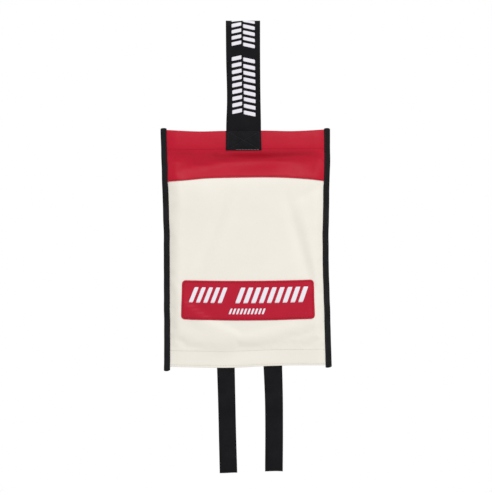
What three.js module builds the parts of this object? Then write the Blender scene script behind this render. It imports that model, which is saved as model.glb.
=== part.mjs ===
// Fire blanket in a soft hanging pouch.
// Millimetres. +X is to the right of someone facing the pouch, +Y goes away from them, +Z is up.
// The origin is the inner top of the hanging loop, where a hook carries the weight.

import * as THREE from 'three';

// ---- Driving dimensions ----

// Hanging strap: one length of webbing folded over a hook, both ends sewn to the pouch's head
const hangStrapWidth = 40;
const hangStrapThickness = 1.4;
const loopInnerRadius = 6;
const hangLength = 127.4;        // loop's inner top down to the pouch's top edge
const sewnEndDrop = 23.2;        // how far each sewn end reaches down the head
const boxStitchMargin = 2.4;     // thread's distance from the webbing's edges

// Folded blanket: a square of glass cloth, folded into leaves
const blanketSide = 1000;
const foldsAcross = 6;           // cloth layers in each leaf
const leafCount = 5;
const clothThickness = 0.417;
const leafGap = 0.3;
const pressedEdge = 5;           // how much narrower the outermost leaves are pressed

// Pouch
const headSideRoom = 15;         // from the folded pack out to the pouch's edge, at the head
const mouthSideRoom = 14.4;      // the same at the mouth
const sidePullIn = 2.3;          // how far the pack's bulk draws each side in at mid height
const panelThickness = 0.8;
const headerSeamDrop = 21.7;
const shoulderLength = 16;       // from the head's seam to the pack's full depth
const throatLength = 17;         // from the pack's lower edge to the closed mouth
const hemLength = 18.5;
const bindingWidth = 7;
const bindingThickness = 0.6;
const bindingSeamInset = 1.5;
const bindingTopRise = 2.4;
const leftBindingTail = 4.4;     // below the mouth's edge
const rightBindingTail = 0.8;

// Header band: covers the pouch's head and laps down both sides of it
const bandThickness = 0.8;
const bandFrontDrop = 55.6;
const bandBackDrop = 25.1;
const bandSeamInset = 2;

// Label patch
const labelSideMargin = 2.1;     // from the label's ends to where the front starts to fall away
const labelHeight = 45.5;
const labelThickness = 0.6;
const labelCorner = 3.5;
const labelAboveMouth = 54.6;    // mouth's edge up to the label's lower edge
const labelSeamInset = 2;

// Closure tapes: hook and loop, sewn inside the mouth
const tapeWidth = 20;
const tapeThickness = 1.2;
const tapeSeamInset = 1.7;

// Pull straps
const pullStrapWidth = 20;
const pullStrapThickness = 1.3;
const pullStrapSpacing = 54.5;   // centre to centre
const pullStrapDrop = 121.9;     // mouth's edge to the free ends
const rootLength = 40;           // webbing sewn flat on the blanket's lower end

// Thread and clearances
const threadWidth = 0.6;
const threadThickness = 0.35;
const threadGap = 0.2;
const layerGap = 0.25;           // between two cloths that lie on each other
const fitGap = 0.3;              // round a piece that slides or turns
const hangPivotRise = 3.9;       // strap's bend line above the pouch's top edge
const hangEndGap = 1;            // bend line down to the sewn ends
const pullPivotDrop = 2.4;       // pull straps' bend line below the mouth's edge
const pullEndGap = 1.2;          // bend line to the webbing on each side of it

// ---- Sizes and places worked out from them ----

const leafThickness = foldsAcross * clothThickness;
const leafPitch = leafThickness + leafGap;
const packThickness = leafCount * leafPitch - leafGap;
const packHalfWidth = blanketSide / foldsAcross / 2;
const packHeight = blanketSide / leafCount;
const threadStand = threadGap + threadThickness;
const rootStand = fitGap + pullStrapThickness;
const cavityHalfDepth = (packThickness + rootStand + threadStand) / 2 + fitGap;
const packBackY = cavityHalfDepth - fitGap;
const packFrontY = packBackY - packThickness;
const plateauHalfWidth = packHalfWidth - pressedEdge + fitGap;
const headHalfWidth = packHalfWidth + headSideRoom;
const mouthHalfWidth = packHalfWidth + mouthSideRoom;
const labelWidth = 2 * (plateauHalfWidth - labelSideMargin);

const headerTopZ = -hangLength;
const headerSeamZ = headerTopZ - headerSeamDrop;
const bandEdgeZ = headerTopZ - bandFrontDrop;
const bandBackEdgeZ = headerTopZ - bandBackDrop;
const shoulderTopZ = headerSeamZ - threadWidth;
const shoulderBottomZ = shoulderTopZ - shoulderLength;
const packTopZ = shoulderBottomZ - fitGap;
const packBottomZ = packTopZ - packHeight;
const throatTopZ = packBottomZ - fitGap;
const throatBottomZ = throatTopZ - throatLength;
const mouthEdgeZ = throatBottomZ - hemLength;

const seamHalfGap = fitGap / 2;                       // the panels' inner faces where they are sewn together
const pinchWidth = bindingWidth - bindingSeamInset;   // the sewn margin down each side
const panelEdgeInset = bindingThickness + fitGap;
const tapeInnerY = pullStrapThickness / 2 + fitGap;
const mouthInnerY = tapeInnerY + tapeThickness + layerGap;
const headPanelOuterY = seamHalfGap + panelThickness;
const bandInnerY = headPanelOuterY + layerGap;
const bandOuterY = bandInnerY + bandThickness;
const bandFoldZ = headerTopZ - bandOuterY;
const sewnEndInnerY = bandOuterY + threadStand + layerGap;
const sewnEndOuterY = sewnEndInnerY + hangStrapThickness;
const hangPivotZ = headerTopZ + hangPivotRise;
const pullPivotZ = mouthEdgeZ - pullPivotDrop;

// ---- The pouch's surface ----

function smoothRamp(t) {
  const clamped = Math.min(1, Math.max(0, t));
  return clamped * clamped * (3 - 2 * clamped);
}

// Half of the pouch's width, bindings included, drawn in at mid height
function halfWidthAt(z) {
  const t = Math.min(1, Math.max(0, (headerTopZ - z) / (headerTopZ - mouthEdgeZ)));
  return headHalfWidth + (mouthHalfWidth - headHalfWidth) * t - sidePullIn * Math.sin(Math.PI * t);
}

// Depth of a panel's inner face at the middle of the pouch's width
function middleInnerY(z) {
  const shoulder = smoothRamp((shoulderTopZ - z) / shoulderLength);
  const throat = smoothRamp((throatTopZ - z) / throatLength);
  return seamHalfGap + (cavityHalfDepth - seamHalfGap) * shoulder - (cavityHalfDepth - mouthInnerY) * throat;
}

function panelInnerY(x, z) {
  const sewnMarginX = halfWidthAt(z) - pinchWidth;
  const rise = smoothRamp((sewnMarginX - Math.abs(x)) / (sewnMarginX - plateauHalfWidth));
  return seamHalfGap + (middleInnerY(z) - seamHalfGap) * rise;
}

function panelOuterY(x, z) {
  return panelInnerY(x, z) + panelThickness;
}

// Where the cloth's grid has its columns at height z, from -X to +X, out to the inset from the pouch's edge
function clothColumns(z, edgeInset) {
  const halfWidth = halfWidthAt(z);
  const slope = halfWidth - pinchWidth - plateauHalfWidth;
  const right = [0, plateauHalfWidth / 2];
  for (const share of [0, 0.2, 0.38, 0.55, 0.72]) {
    right.push(plateauHalfWidth + share * slope);
  }
  for (const inset of [bindingWidth, pinchWidth, (pinchWidth + panelEdgeInset) / 2, panelEdgeInset]) {
    if (inset >= edgeInset) {
      right.push(halfWidth - inset);
    }
  }
  const left = right.slice(1).reverse().map((x) => -x);
  return [...left, ...right];
}

// Heights from top to bottom, both ends included, no step longer than the given one
function heights(top, bottom, longestStep) {
  const count = Math.max(1, Math.ceil((top - bottom) / longestStep - 1e-9));
  return Array.from({ length: count + 1 }, (unused, index) => top + ((bottom - top) * index) / count);
}

const curvedStep = 2.9;
const straightStep = 34;
const panelTopZ = bandFoldZ - layerGap;
const shoulderRows = [panelTopZ, ...heights(shoulderTopZ, shoulderBottomZ, curvedStep)];
const bandRows = [...shoulderRows, bandEdgeZ];
const panelRows = [...bandRows, ...heights(bandEdgeZ, throatTopZ, straightStep).slice(1)];
const flapRows = [throatTopZ - fitGap, ...heights(throatTopZ, throatBottomZ, curvedStep).slice(1), mouthEdgeZ];

// ---- Solids ----

function vector(x, y, z) {
  return new THREE.Vector3(x, y, z);
}

// A closed sheet with thickness: two grids of points, joined round their edges
function thickSheet(face, back) {
  const rowCount = face.length;
  const columnCount = face[0].length;
  const positions = [face, back].flat(2).flatMap((point) => [point.x, point.y, point.z]);
  const at = (side, row, column) => (side * rowCount + row) * columnCount + column;
  const triangles = [];
  const addQuad = (a, b, c, d) => triangles.push([a, b, c], [a, c, d]);
  const lastRow = rowCount - 1;
  const lastColumn = columnCount - 1;
  for (let row = 0; row < lastRow; row += 1) {
    for (let column = 0; column < lastColumn; column += 1) {
      const nextRow = row + 1;
      const nextColumn = column + 1;
      addQuad(at(0, row, column), at(0, row, nextColumn), at(0, nextRow, nextColumn), at(0, nextRow, column));
      addQuad(at(1, row, column), at(1, nextRow, column), at(1, nextRow, nextColumn), at(1, row, nextColumn));
    }
    addQuad(at(0, row, 0), at(0, row + 1, 0), at(1, row + 1, 0), at(1, row, 0));
    addQuad(at(0, row, lastColumn), at(1, row, lastColumn), at(1, row + 1, lastColumn), at(0, row + 1, lastColumn));
  }
  for (let column = 0; column < lastColumn; column += 1) {
    addQuad(at(0, 0, column), at(1, 0, column), at(1, 0, column + 1), at(0, 0, column + 1));
    addQuad(at(0, lastRow, column), at(0, lastRow, column + 1), at(1, lastRow, column + 1), at(1, lastRow, column));
  }
  const corner = (index) => vector(...positions.slice(index * 3, index * 3 + 3));
  let volume = 0;
  for (const [a, b, c] of triangles) {
    volume += corner(a).dot(corner(b).cross(corner(c)));
  }
  const outward = volume < 0 ? triangles.map(([a, b, c]) => [a, c, b]) : triangles;
  const geometry = new THREE.BufferGeometry();
  geometry.setAttribute('position', new THREE.Float32BufferAttribute(positions, 3));
  geometry.setIndex(outward.flat());
  geometry.computeVertexNormals();
  return geometry;
}

// A grid of points from a list of rows and a function of the row that gives its points
function grid(rows, pointsOfRow) {
  return rows.map((row) => pointsOfRow(row));
}

// A cloth that lies on the panel: side is -1 in front and +1 at the back
function clothOnPouch(side, rows, stand, thickness) {
  const layer = (depth) => grid(rows, (z) =>
    clothColumns(z, panelEdgeInset).map((x) => vector(x, side * (panelInnerY(x, z) + stand + depth), z)));
  return thickSheet(layer(0), layer(thickness));
}

// A run of thread across the pouch at height z, standing a little proud of a cloth
function crossSeam(side, z, stand, halfLength) {
  const rows = [z + threadWidth / 2, z - threadWidth / 2];
  const columns = (rowZ) => [
    -halfLength,
    ...clothColumns(rowZ, bindingWidth).filter((x) => Math.abs(x) < halfLength - threadWidth),
    halfLength,
  ];
  const layer = (depth) => grid(rows, (rowZ) =>
    columns(rowZ).map((x) => vector(x, side * (panelOuterY(x, rowZ) + stand + depth), rowZ)));
  return thickSheet(layer(threadGap), layer(threadStand));
}

// Webbing of one width along a path of [y, z] points
function webbingAlong(path, width, thickness, centreX, insetAt = () => 0) {
  const offsetPoint = (index, offset) => {
    const here = new THREE.Vector2(...path[index]);
    const before = index > 0 ? here.clone().sub(new THREE.Vector2(...path[index - 1])).normalize() : null;
    const after = index < path.length - 1
      ? new THREE.Vector2(...path[index + 1]).sub(here).normalize()
      : null;
    const along = (before ?? after).clone().add(after ?? before).normalize();
    const stretch = 1 / along.dot(before ?? after);
    return here.add(new THREE.Vector2(-along.y, along.x).multiplyScalar(offset * stretch));
  };
  const layer = (offset) => path.map((unused, index) => {
    const point = offsetPoint(index, offset);
    const halfWidth = width / 2 - insetAt(index);
    return [vector(centreX - halfWidth, point.x, point.y), vector(centreX + halfWidth, point.x, point.y)];
  });
  return thickSheet(layer(-thickness / 2), layer(thickness / 2));
}

// A flat outline in X and Z, standing in front (side -1) or behind (side +1), from nearY outwards
function platedOutline(outline, side, nearY, thickness) {
  const geometry = new THREE.ExtrudeGeometry(outline, { depth: thickness, bevelEnabled: false, curveSegments: 5 });
  geometry.rotateX(Math.PI / 2);
  geometry.translate(0, side < 0 ? -nearY : nearY + thickness, 0);
  return geometry;
}

// ---- Hanging strap ----

// The legs stop above the bend line by the sewn ends' reach, so that the pouch can swing up level
function hangLoopGeometry() {
  const turnRadius = loopInnerRadius + hangStrapThickness / 2;
  const legBottomZ = hangPivotZ + sewnEndOuterY + fitGap;
  const legBottomY = sewnEndInnerY + hangStrapThickness / 2;
  const turnSteps = 12;
  const path = [[-legBottomY, legBottomZ]];
  for (let step = 0; step <= turnSteps; step += 1) {
    const angle = Math.PI - (Math.PI * step) / turnSteps;
    path.push([turnRadius * Math.cos(angle), turnRadius * Math.sin(angle) - loopInnerRadius]);
  }
  path.push([legBottomY, legBottomZ]);
  return webbingAlong(path, hangStrapWidth, hangStrapThickness, 0);
}

function sewnEndGeometry(side) {
  const middleY = side * (sewnEndInnerY + hangStrapThickness / 2);
  const path = [[middleY, hangPivotZ - hangEndGap], [middleY, headerTopZ - sewnEndDrop]];
  return webbingAlong(path, hangStrapWidth, hangStrapThickness, 0);
}

// A box with a cross in it, the thread that holds a webbing's end
function boxStitchOutline(width, height, centreX, centreZ) {
  const innerWidth = width - 2 * threadWidth;
  const innerHeight = height - 2 * threadWidth;
  const diagonal = Math.hypot(innerWidth, innerHeight);
  const alongWidth = ((threadWidth / 2) * diagonal) / innerHeight;
  const alongHeight = ((threadWidth / 2) * diagonal) / innerWidth;
  const loop = (points) => points.map(([x, z]) => new THREE.Vector2(centreX + x, centreZ + z));
  const outline = new THREE.Shape(loop([
    [-width / 2, -height / 2], [width / 2, -height / 2], [width / 2, height / 2], [-width / 2, height / 2],
  ]));
  for (const sign of [-1, 1]) {
    const baseZ = (sign * innerHeight) / 2;
    const baseX = (sign * innerWidth) / 2;
    const reachX = innerWidth / 2 - alongWidth;
    const reachZ = innerHeight / 2 - alongHeight;
    outline.holes.push(new THREE.Path(loop([[-reachX, baseZ], [reachX, baseZ], [0, sign * alongHeight]])));
    outline.holes.push(new THREE.Path(loop([[baseX, -reachZ], [baseX, reachZ], [sign * alongWidth, 0]])));
  }
  return outline;
}

function hangBoxStitchGeometry(side) {
  const sewnTopZ = headerTopZ - boxStitchMargin;
  const sewnBottomZ = headerTopZ - sewnEndDrop + boxStitchMargin;
  const width = hangStrapWidth - 2 * boxStitchMargin;
  const outline = boxStitchOutline(width, sewnTopZ - sewnBottomZ, 0, (sewnTopZ + sewnBottomZ) / 2);
  return platedOutline(outline, side, sewnEndOuterY + threadGap, threadThickness);
}

// ---- Header band and seams ----

function headerBandGeometry() {
  const straightRow = (side) => (z) => ({
    z,
    place: (x, depth) => vector(x, side * (panelOuterY(x, z) + layerGap + depth), z),
  });
  const foldRow = (angle) => ({
    z: bandFoldZ,
    place: (x, depth) => {
      const radius = bandInnerY + depth;
      return vector(x, radius * Math.cos(angle), bandFoldZ + radius * Math.sin(angle));
    },
  });
  const foldSteps = 6;
  const foldAngles = Array.from({ length: foldSteps + 1 }, (unused, step) => (Math.PI * step) / foldSteps);
  const backRows = [bandBackEdgeZ, shoulderTopZ].map(straightRow(1));
  const frontRows = bandRows.slice(1).map(straightRow(-1));
  const rows = [...backRows, ...foldAngles.map(foldRow), ...frontRows];
  const layer = (depth) => grid(rows, (row) =>
    clothColumns(row.z, panelEdgeInset).map((x) => row.place(x, depth)));
  return thickSheet(layer(0), layer(bandThickness));
}

const seamHalfLength = (z) => halfWidthAt(z) - bindingWidth - layerGap;

// ---- Edge bindings ----

// A tape folded round the side edge: its path runs from the front, round the edge, to the back
function edgeBindingGeometry(sideX, tail) {
  const overBand = layerGap + bandThickness + layerGap;
  const settleLength = 6;
  const standAt = (z) => (z > bandEdgeZ - fitGap ? overBand : layerGap);
  const rows = [
    headerTopZ + bindingTopRise,
    ...bandRows.slice(0, -1),
    bandEdgeZ,
    bandEdgeZ - fitGap / 2,
    ...heights(bandEdgeZ - settleLength, throatTopZ, straightStep),
    ...heights(throatTopZ, throatBottomZ, curvedStep).slice(1),
    mouthEdgeZ,
    mouthEdgeZ - tail,
  ];
  const insets = [bindingWidth, pinchWidth, (pinchWidth + panelEdgeInset) / 2, panelEdgeInset];
  const pathAt = (z, depth) => {
    const halfWidth = halfWidthAt(z);
    const wallX = halfWidth - bindingThickness + depth;
    const wallY = headPanelOuterY + standAt(z) / 2;
    const front = insets.map((inset) => {
      const x = halfWidth - inset;
      return [x, panelOuterY(x, z) + standAt(z) + depth];
    });
    const back = front.slice().reverse();
    const wall = [vector(sideX * wallX, -wallY, z), vector(sideX * wallX, wallY, z)];
    return [
      ...front.map(([x, y]) => vector(sideX * x, -y, z)),
      ...wall,
      ...back.map(([x, y]) => vector(sideX * x, y, z)),
    ];
  };
  return thickSheet(grid(rows, (z) => pathAt(z, 0)), grid(rows, (z) => pathAt(z, bindingThickness)));
}

// Thread down a binding, near its inner edge
function bindingSeamGeometry(sideX) {
  const rows = [...heights(bandEdgeZ - bindingWidth, throatTopZ, straightStep), mouthEdgeZ];
  const layer = (depth) => grid(rows, (z) => [-1, 1].map((edge) => {
    const x = halfWidthAt(z) - pinchWidth + (edge * threadWidth) / 2;
    const bindingOuterY = panelOuterY(x, z) + layerGap + bindingThickness;
    return vector(sideX * x, -(bindingOuterY + fitGap + depth), z);
  }));
  return thickSheet(layer(0), layer(threadThickness));
}

// ---- Label ----

function roundedOutline(width, height, corner, centreZ) {
  const right = width / 2;
  const top = centreZ + height / 2;
  const bottom = centreZ - height / 2;
  const outline = new THREE.Shape();
  outline.moveTo(-right + corner, bottom);
  outline.lineTo(right - corner, bottom);
  outline.absarc(right - corner, bottom + corner, corner, -Math.PI / 2, 0);
  outline.lineTo(right, top - corner);
  outline.absarc(right - corner, top - corner, corner, 0, Math.PI / 2);
  outline.lineTo(-right + corner, top);
  outline.absarc(-right + corner, top - corner, corner, Math.PI / 2, Math.PI);
  outline.lineTo(-right, bottom + corner);
  outline.absarc(-right + corner, bottom + corner, corner, Math.PI, Math.PI * 1.5);
  return outline;
}

const labelMiddleZ = mouthEdgeZ + labelAboveMouth + labelHeight / 2;
const plateauOuterY = cavityHalfDepth + panelThickness;

function labelGeometry() {
  const outline = roundedOutline(labelWidth, labelHeight, labelCorner, labelMiddleZ);
  return platedOutline(outline, -1, plateauOuterY + layerGap, labelThickness);
}

function labelSeamGeometry() {
  const seamOutline = (inset) => roundedOutline(
    labelWidth - 2 * inset, labelHeight - 2 * inset, Math.max(labelCorner - inset, threadWidth / 2), labelMiddleZ);
  const outline = seamOutline(labelSeamInset);
  outline.holes.push(seamOutline(labelSeamInset + threadWidth));
  return platedOutline(outline, -1, plateauOuterY + layerGap + labelThickness + threadGap, threadThickness);
}

// ---- Closure tapes ----

function closureTapeGeometry(side) {
  const middleY = side * (tapeInnerY + tapeThickness / 2);
  const bottomZ = mouthEdgeZ + fitGap;
  const path = [[middleY, bottomZ + tapeWidth], [middleY, bottomZ]];
  return webbingAlong(path, 2 * (plateauHalfWidth - fitGap), tapeThickness, 0);
}

const upperHemSeamZ = mouthEdgeZ + fitGap + tapeWidth - tapeSeamInset;
const lowerHemSeamZ = mouthEdgeZ + fitGap + tapeSeamInset;

// ---- Folded blanket ----

// Leaves stacked front to back in one serpentine: the front leaf's free edge is at the bottom
function foldedBlanketGeometry() {
  const turnRadius = leafPitch / 2;
  const turnReach = turnRadius + leafThickness / 2;
  const foldSteps = 6;
  const path = [];
  const leafOfPoint = [];
  const addPoint = (y, z, leaf) => {
    path.push([y, z]);
    leafOfPoint.push(leaf);
  };
  for (let leaf = 0; leaf < leafCount; leaf += 1) {
    const leafY = packFrontY + leafThickness / 2 + leaf * leafPitch;
    const rising = leaf % 2 === 0;
    const startZ = rising ? packBottomZ : packTopZ;
    const endZ = rising ? packTopZ : packBottomZ;
    const inward = rising ? -1 : 1;
    addPoint(leafY, startZ - (leaf === 0 ? 0 : inward * turnReach), leaf);
    if (leaf === leafCount - 1) {
      addPoint(leafY, endZ, leaf);
      continue;
    }
    const turnZ = endZ + inward * turnReach;
    addPoint(leafY, turnZ, leaf);
    for (let step = 1; step < foldSteps; step += 1) {
      const angle = Math.PI * (1 - step / foldSteps);
      const alongTurn = leaf + step / foldSteps;
      addPoint(leafY + turnRadius + turnRadius * Math.cos(angle), turnZ - inward * turnRadius * Math.sin(angle), alongTurn);
    }
  }
  const middleLeaf = (leafCount - 1) / 2;
  const insetAt = (index) => pressedEdge * ((leafOfPoint[index] - middleLeaf) / middleLeaf) ** 2;
  return webbingAlong(path, 2 * packHalfWidth, leafThickness, 0, insetAt);
}

// ---- Pull straps ----

const rootMiddleY = packFrontY - fitGap - pullStrapThickness / 2;

// Sewn flat on the front leaf, then through the throat to the middle of the mouth
function pullRootGeometry(centreX) {
  const bendSteps = 8;
  const bendBottomZ = mouthEdgeZ + tapeWidth + 2 * fitGap;
  const path = [[rootMiddleY, packBottomZ + rootLength]];
  for (let step = 0; step <= bendSteps; step += 1) {
    const share = step / bendSteps;
    path.push([rootMiddleY * (1 - smoothRamp(share)), packBottomZ + (bendBottomZ - packBottomZ) * share]);
  }
  path.push([0, pullPivotZ + pullEndGap]);
  return webbingAlong(path, pullStrapWidth, pullStrapThickness, centreX);
}

function rootStitchGeometry(centreX) {
  const bottomZ = packBottomZ + boxStitchMargin;
  const topZ = packBottomZ + rootLength - boxStitchMargin;
  const width = pullStrapWidth - 2 * boxStitchMargin;
  const outline = boxStitchOutline(width, topZ - bottomZ, centreX, (topZ + bottomZ) / 2);
  const faceY = -rootMiddleY + pullStrapThickness / 2;
  return platedOutline(outline, -1, faceY + threadGap, threadThickness);
}

function pullStrapGeometry(centreX) {
  const path = [[0, pullPivotZ - pullEndGap], [0, mouthEdgeZ - pullStrapDrop]];
  return webbingAlong(path, pullStrapWidth, pullStrapThickness, centreX);
}

// ---- Materials ----

const blackWebbing = () => new THREE.MeshStandardMaterial({ color: 0x252528, roughness: 0.75, metalness: 0 });
const blackBinding = () => new THREE.MeshStandardMaterial({ color: 0x212023, roughness: 0.8, metalness: 0 });
const redLeathercloth = () => new THREE.MeshStandardMaterial({ color: 0xb8293d, roughness: 0.5, metalness: 0 });
const ivoryCloth = () => new THREE.MeshStandardMaterial({ color: 0xe9e4d9, roughness: 0.65, metalness: 0 });
const glassCloth = () => new THREE.MeshStandardMaterial({ color: 0xe4e0d3, roughness: 0.6, metalness: 0 });
const closureTape = () => new THREE.MeshStandardMaterial({ color: 0xdcd8cc, roughness: 0.95, metalness: 0 });
const blackThread = () => new THREE.MeshStandardMaterial({ color: 0x1c1c1e, roughness: 0.6, metalness: 0 });
const redThread = () => new THREE.MeshStandardMaterial({ color: 0x9c1c2e, roughness: 0.6, metalness: 0 });
const ivoryThread = () => new THREE.MeshStandardMaterial({ color: 0xd9d3c6, roughness: 0.6, metalness: 0 });

// ---- Assembly ----

const fireBlanket = new THREE.Group();
fireBlanket.name = 'fire_blanket';

function addPiece(assembly, name, geometry, material) {
  const mesh = new THREE.Mesh(geometry, material);
  mesh.name = name;
  assembly.add(mesh);
}

const hangLoop = new THREE.Group();
addPiece(hangLoop, 'hang_strap', hangLoopGeometry(), blackWebbing());
fireBlanket.add(hangLoop);

const pouch = new THREE.Group();
for (const [word, side] of [['front', -1], ['back', 1]]) {
  addPiece(pouch, `${word}_panel`, clothOnPouch(side, panelRows, 0, panelThickness), ivoryCloth());
  addPiece(pouch, `${word}_mouth_flap`, clothOnPouch(side, flapRows, 0, panelThickness), ivoryCloth());
  addPiece(pouch, `hang_strap_${word}_end`, sewnEndGeometry(side), blackWebbing());
  addPiece(pouch, `${word}_end_box_stitch`, hangBoxStitchGeometry(side), blackThread());
  const headerSeam = crossSeam(side, headerSeamZ, layerGap + bandThickness, seamHalfLength(headerSeamZ));
  addPiece(pouch, `header_seam_${word}`, headerSeam, redThread());
  const upperSeam = crossSeam(side, upperHemSeamZ, 0, seamHalfLength(upperHemSeamZ));
  addPiece(pouch, `${word}_mouth_upper_seam`, upperSeam, ivoryThread());
  const lowerSeam = crossSeam(side, lowerHemSeamZ, 0, seamHalfLength(lowerHemSeamZ));
  addPiece(pouch, `${word}_mouth_lower_seam`, lowerSeam, ivoryThread());
}
addPiece(pouch, 'header_band', headerBandGeometry(), redLeathercloth());
const bandSeamZ = bandEdgeZ + bandSeamInset;
const bandSeam = crossSeam(-1, bandSeamZ, layerGap + bandThickness, seamHalfLength(bandSeamZ));
addPiece(pouch, 'band_lower_seam', bandSeam, redThread());
for (const [word, sideX, tail] of [['left', -1, leftBindingTail], ['right', 1, rightBindingTail]]) {
  addPiece(pouch, `${word}_edge_binding`, edgeBindingGeometry(sideX, tail), blackBinding());
  addPiece(pouch, `${word}_binding_seam`, bindingSeamGeometry(sideX), blackThread());
}
addPiece(pouch, 'label_patch', labelGeometry(), redLeathercloth());
addPiece(pouch, 'label_seam', labelSeamGeometry(), redThread());
addPiece(pouch, 'closure_loop_tape', closureTapeGeometry(-1), closureTape());
addPiece(pouch, 'closure_hook_tape', closureTapeGeometry(1), closureTape());
fireBlanket.add(pouch);

const blanket = new THREE.Group();
addPiece(blanket, 'folded_blanket', foldedBlanketGeometry(), glassCloth());
for (const [word, sideX] of [['left', -1], ['right', 1]]) {
  const centreX = (sideX * pullStrapSpacing) / 2;
  addPiece(blanket, `pull_strap_${word}_root`, pullRootGeometry(centreX), blackWebbing());
  addPiece(blanket, `${word}_root_stitch`, rootStitchGeometry(centreX), blackThread());
  addPiece(blanket, `pull_strap_${word}`, pullStrapGeometry(centreX), blackWebbing());
}
fireBlanket.add(blanket);

export default fireBlanket;
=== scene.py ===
import bpy
import math
import numpy as np
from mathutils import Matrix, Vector
from types import SimpleNamespace


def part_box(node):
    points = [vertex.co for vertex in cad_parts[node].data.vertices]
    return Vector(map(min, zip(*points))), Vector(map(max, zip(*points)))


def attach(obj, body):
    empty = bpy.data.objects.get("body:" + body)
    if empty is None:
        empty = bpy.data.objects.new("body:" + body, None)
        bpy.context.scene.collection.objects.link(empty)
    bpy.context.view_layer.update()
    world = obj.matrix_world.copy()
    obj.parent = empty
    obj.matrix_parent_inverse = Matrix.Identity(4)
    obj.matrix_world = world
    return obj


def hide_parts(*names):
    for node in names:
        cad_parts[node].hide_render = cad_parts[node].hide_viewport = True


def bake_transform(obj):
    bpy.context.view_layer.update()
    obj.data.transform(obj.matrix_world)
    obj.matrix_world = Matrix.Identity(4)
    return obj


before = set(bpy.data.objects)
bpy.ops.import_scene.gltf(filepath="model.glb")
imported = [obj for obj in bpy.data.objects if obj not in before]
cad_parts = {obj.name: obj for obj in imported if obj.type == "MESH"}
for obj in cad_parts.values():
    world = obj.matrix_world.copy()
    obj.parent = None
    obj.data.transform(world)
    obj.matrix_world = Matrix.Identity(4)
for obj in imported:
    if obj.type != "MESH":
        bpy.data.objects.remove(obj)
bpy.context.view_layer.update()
mm = 0.001
rng = np.random.default_rng(11)
print("frame loaded:", len(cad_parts), "CAD nodes")

# Everything below is worked out in millimetres and turned into metres when a mesh is made.


def nodeBox(name):
    low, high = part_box(name)
    return np.array(low) / mm, np.array(high) / mm


def middleZ(name):
    return float(np.mean([corner[2] for corner in nodeBox(name)]))


bandLow, bandHigh = nodeBox("header_band")
headTopZ = bandHigh[2]
bandEdgeZ = bandLow[2]
headerSeamZ = middleZ("header_seam_front")
mouthZ = nodeBox("front_mouth_flap")[0][2]
upperHemZ = middleZ("front_mouth_upper_seam")
lowerHemZ = middleZ("front_mouth_lower_seam")
packBottomZ = nodeBox("folded_blanket")[0][2]
frontY = nodeBox("front_panel")[0][1]


# ---------- small tools ----------

def ramp(t):
    t = np.clip(t, 0, 1)
    return t * t * (3 - 2 * t)


def bell(t):
    return np.exp(-0.5 * np.square(t))


# A smooth curve through given points, as a function of their first number
def curveThrough(points):
    xs, ys = np.array(sorted(points), float).T
    slopes = np.gradient(ys, xs)

    def at(x):
        x = np.clip(np.asarray(x, float), xs[0], xs[-1])
        i = np.clip(np.searchsorted(xs, x) - 1, 0, len(xs) - 2)
        span = xs[i + 1] - xs[i]
        t = (x - xs[i]) / span
        t2, t3 = t * t, t * t * t
        start = (2 * t3 - 3 * t2 + 1) * ys[i] + (t3 - 2 * t2 + t) * span * slopes[i]
        return start + (3 * t2 - 2 * t3) * ys[i + 1] + (t3 - t2) * span * slopes[i + 1]

    return at


# The same, rounded off over a distance so that no bend in it is sharp
def smoothCurve(points, over):
    sharp = curveThrough(points)
    low, high = min(points)[0], max(points)[0]
    xs = np.arange(low - 4 * over, high + 4 * over, 0.5)
    weights = bell(np.arange(-3 * over, 3 * over + 0.5, 0.5) / over)
    ys = np.convolve(sharp(xs), weights / weights.sum(), "same")
    inner = slice(int(6 * over), -int(6 * over))      # without the ends, which the rounding bends
    return lambda x: np.interp(x, xs[inner], ys[inner])


# Smooth seeded unevenness: a few sine waves of about one wavelength, from -1 to 1
def makeWaves(wavelength, count=7):
    angles = rng.uniform(0, math.pi, count)
    lengths = wavelength * rng.uniform(0.7, 1.5, count)
    phases = rng.uniform(0, 2 * math.pi, count)

    def at(x, z):
        total = 0
        for angle, length, phase in zip(angles, lengths, phases):
            total = total + np.sin(2 * math.pi * (x * math.cos(angle) + z * math.sin(angle)) / length + phase)
        return total / count

    return at


# How far each point of a line is along it
def distanceAlong(line):
    return np.concatenate([[0], np.cumsum(np.linalg.norm(np.diff(line, axis=0), axis=1))])


# Evenly spaced stops between two ends, with extra ones close round each seam
def stops(start, end, step, closeTo=(), reach=(0.45, 0.9, 1.6)):
    direction = 1 if end > start else -1
    found = list(np.linspace(start, end, max(2, int(abs(end - start) / step) + 1)))
    for centre in closeTo:
        found = [v for v in found if abs(v - centre) > reach[-1]] + [centre]
        for away in reach:
            found += [centre - away, centre + away]
    low, high = min(start, end), max(start, end)
    kept = [low, high]
    for v in sorted(found):
        if all(abs(v - other) > 0.2 for other in kept):
            kept.append(float(v))
    return np.array(sorted(kept))[::direction]


# ---------- meshes ----------

def makeObject(name, points, faces, weft):
    mesh = bpy.data.meshes.new(name)
    mesh.from_pydata((np.asarray(points) * mm).tolist(), [], faces)
    mesh.validate()
    for polygon in mesh.polygons:
        polygon.use_smooth = True
    layer = mesh.attributes.new("weft", "FLOAT_VECTOR", "POINT")
    flat = np.zeros((len(points), 3), np.float32)
    flat[:, :2] = weft
    layer.data.foreach_set("vector", flat.ravel())
    piece = bpy.data.objects.new(name, mesh)
    bpy.context.scene.collection.objects.link(piece)
    return piece


def gridFaces(rows, columns, start=0):
    index = start + np.arange(rows * columns).reshape(rows, columns)
    quads = [index[:-1, :-1], index[1:, :-1], index[1:, 1:], index[:-1, 1:]]
    return np.stack(quads, -1).reshape(-1, 4).tolist()


# One row of weft places, all at the same distance along the cloth
def weftRow(across, along):
    return np.stack([across, np.full(across.shape, along)], -1)


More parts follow.
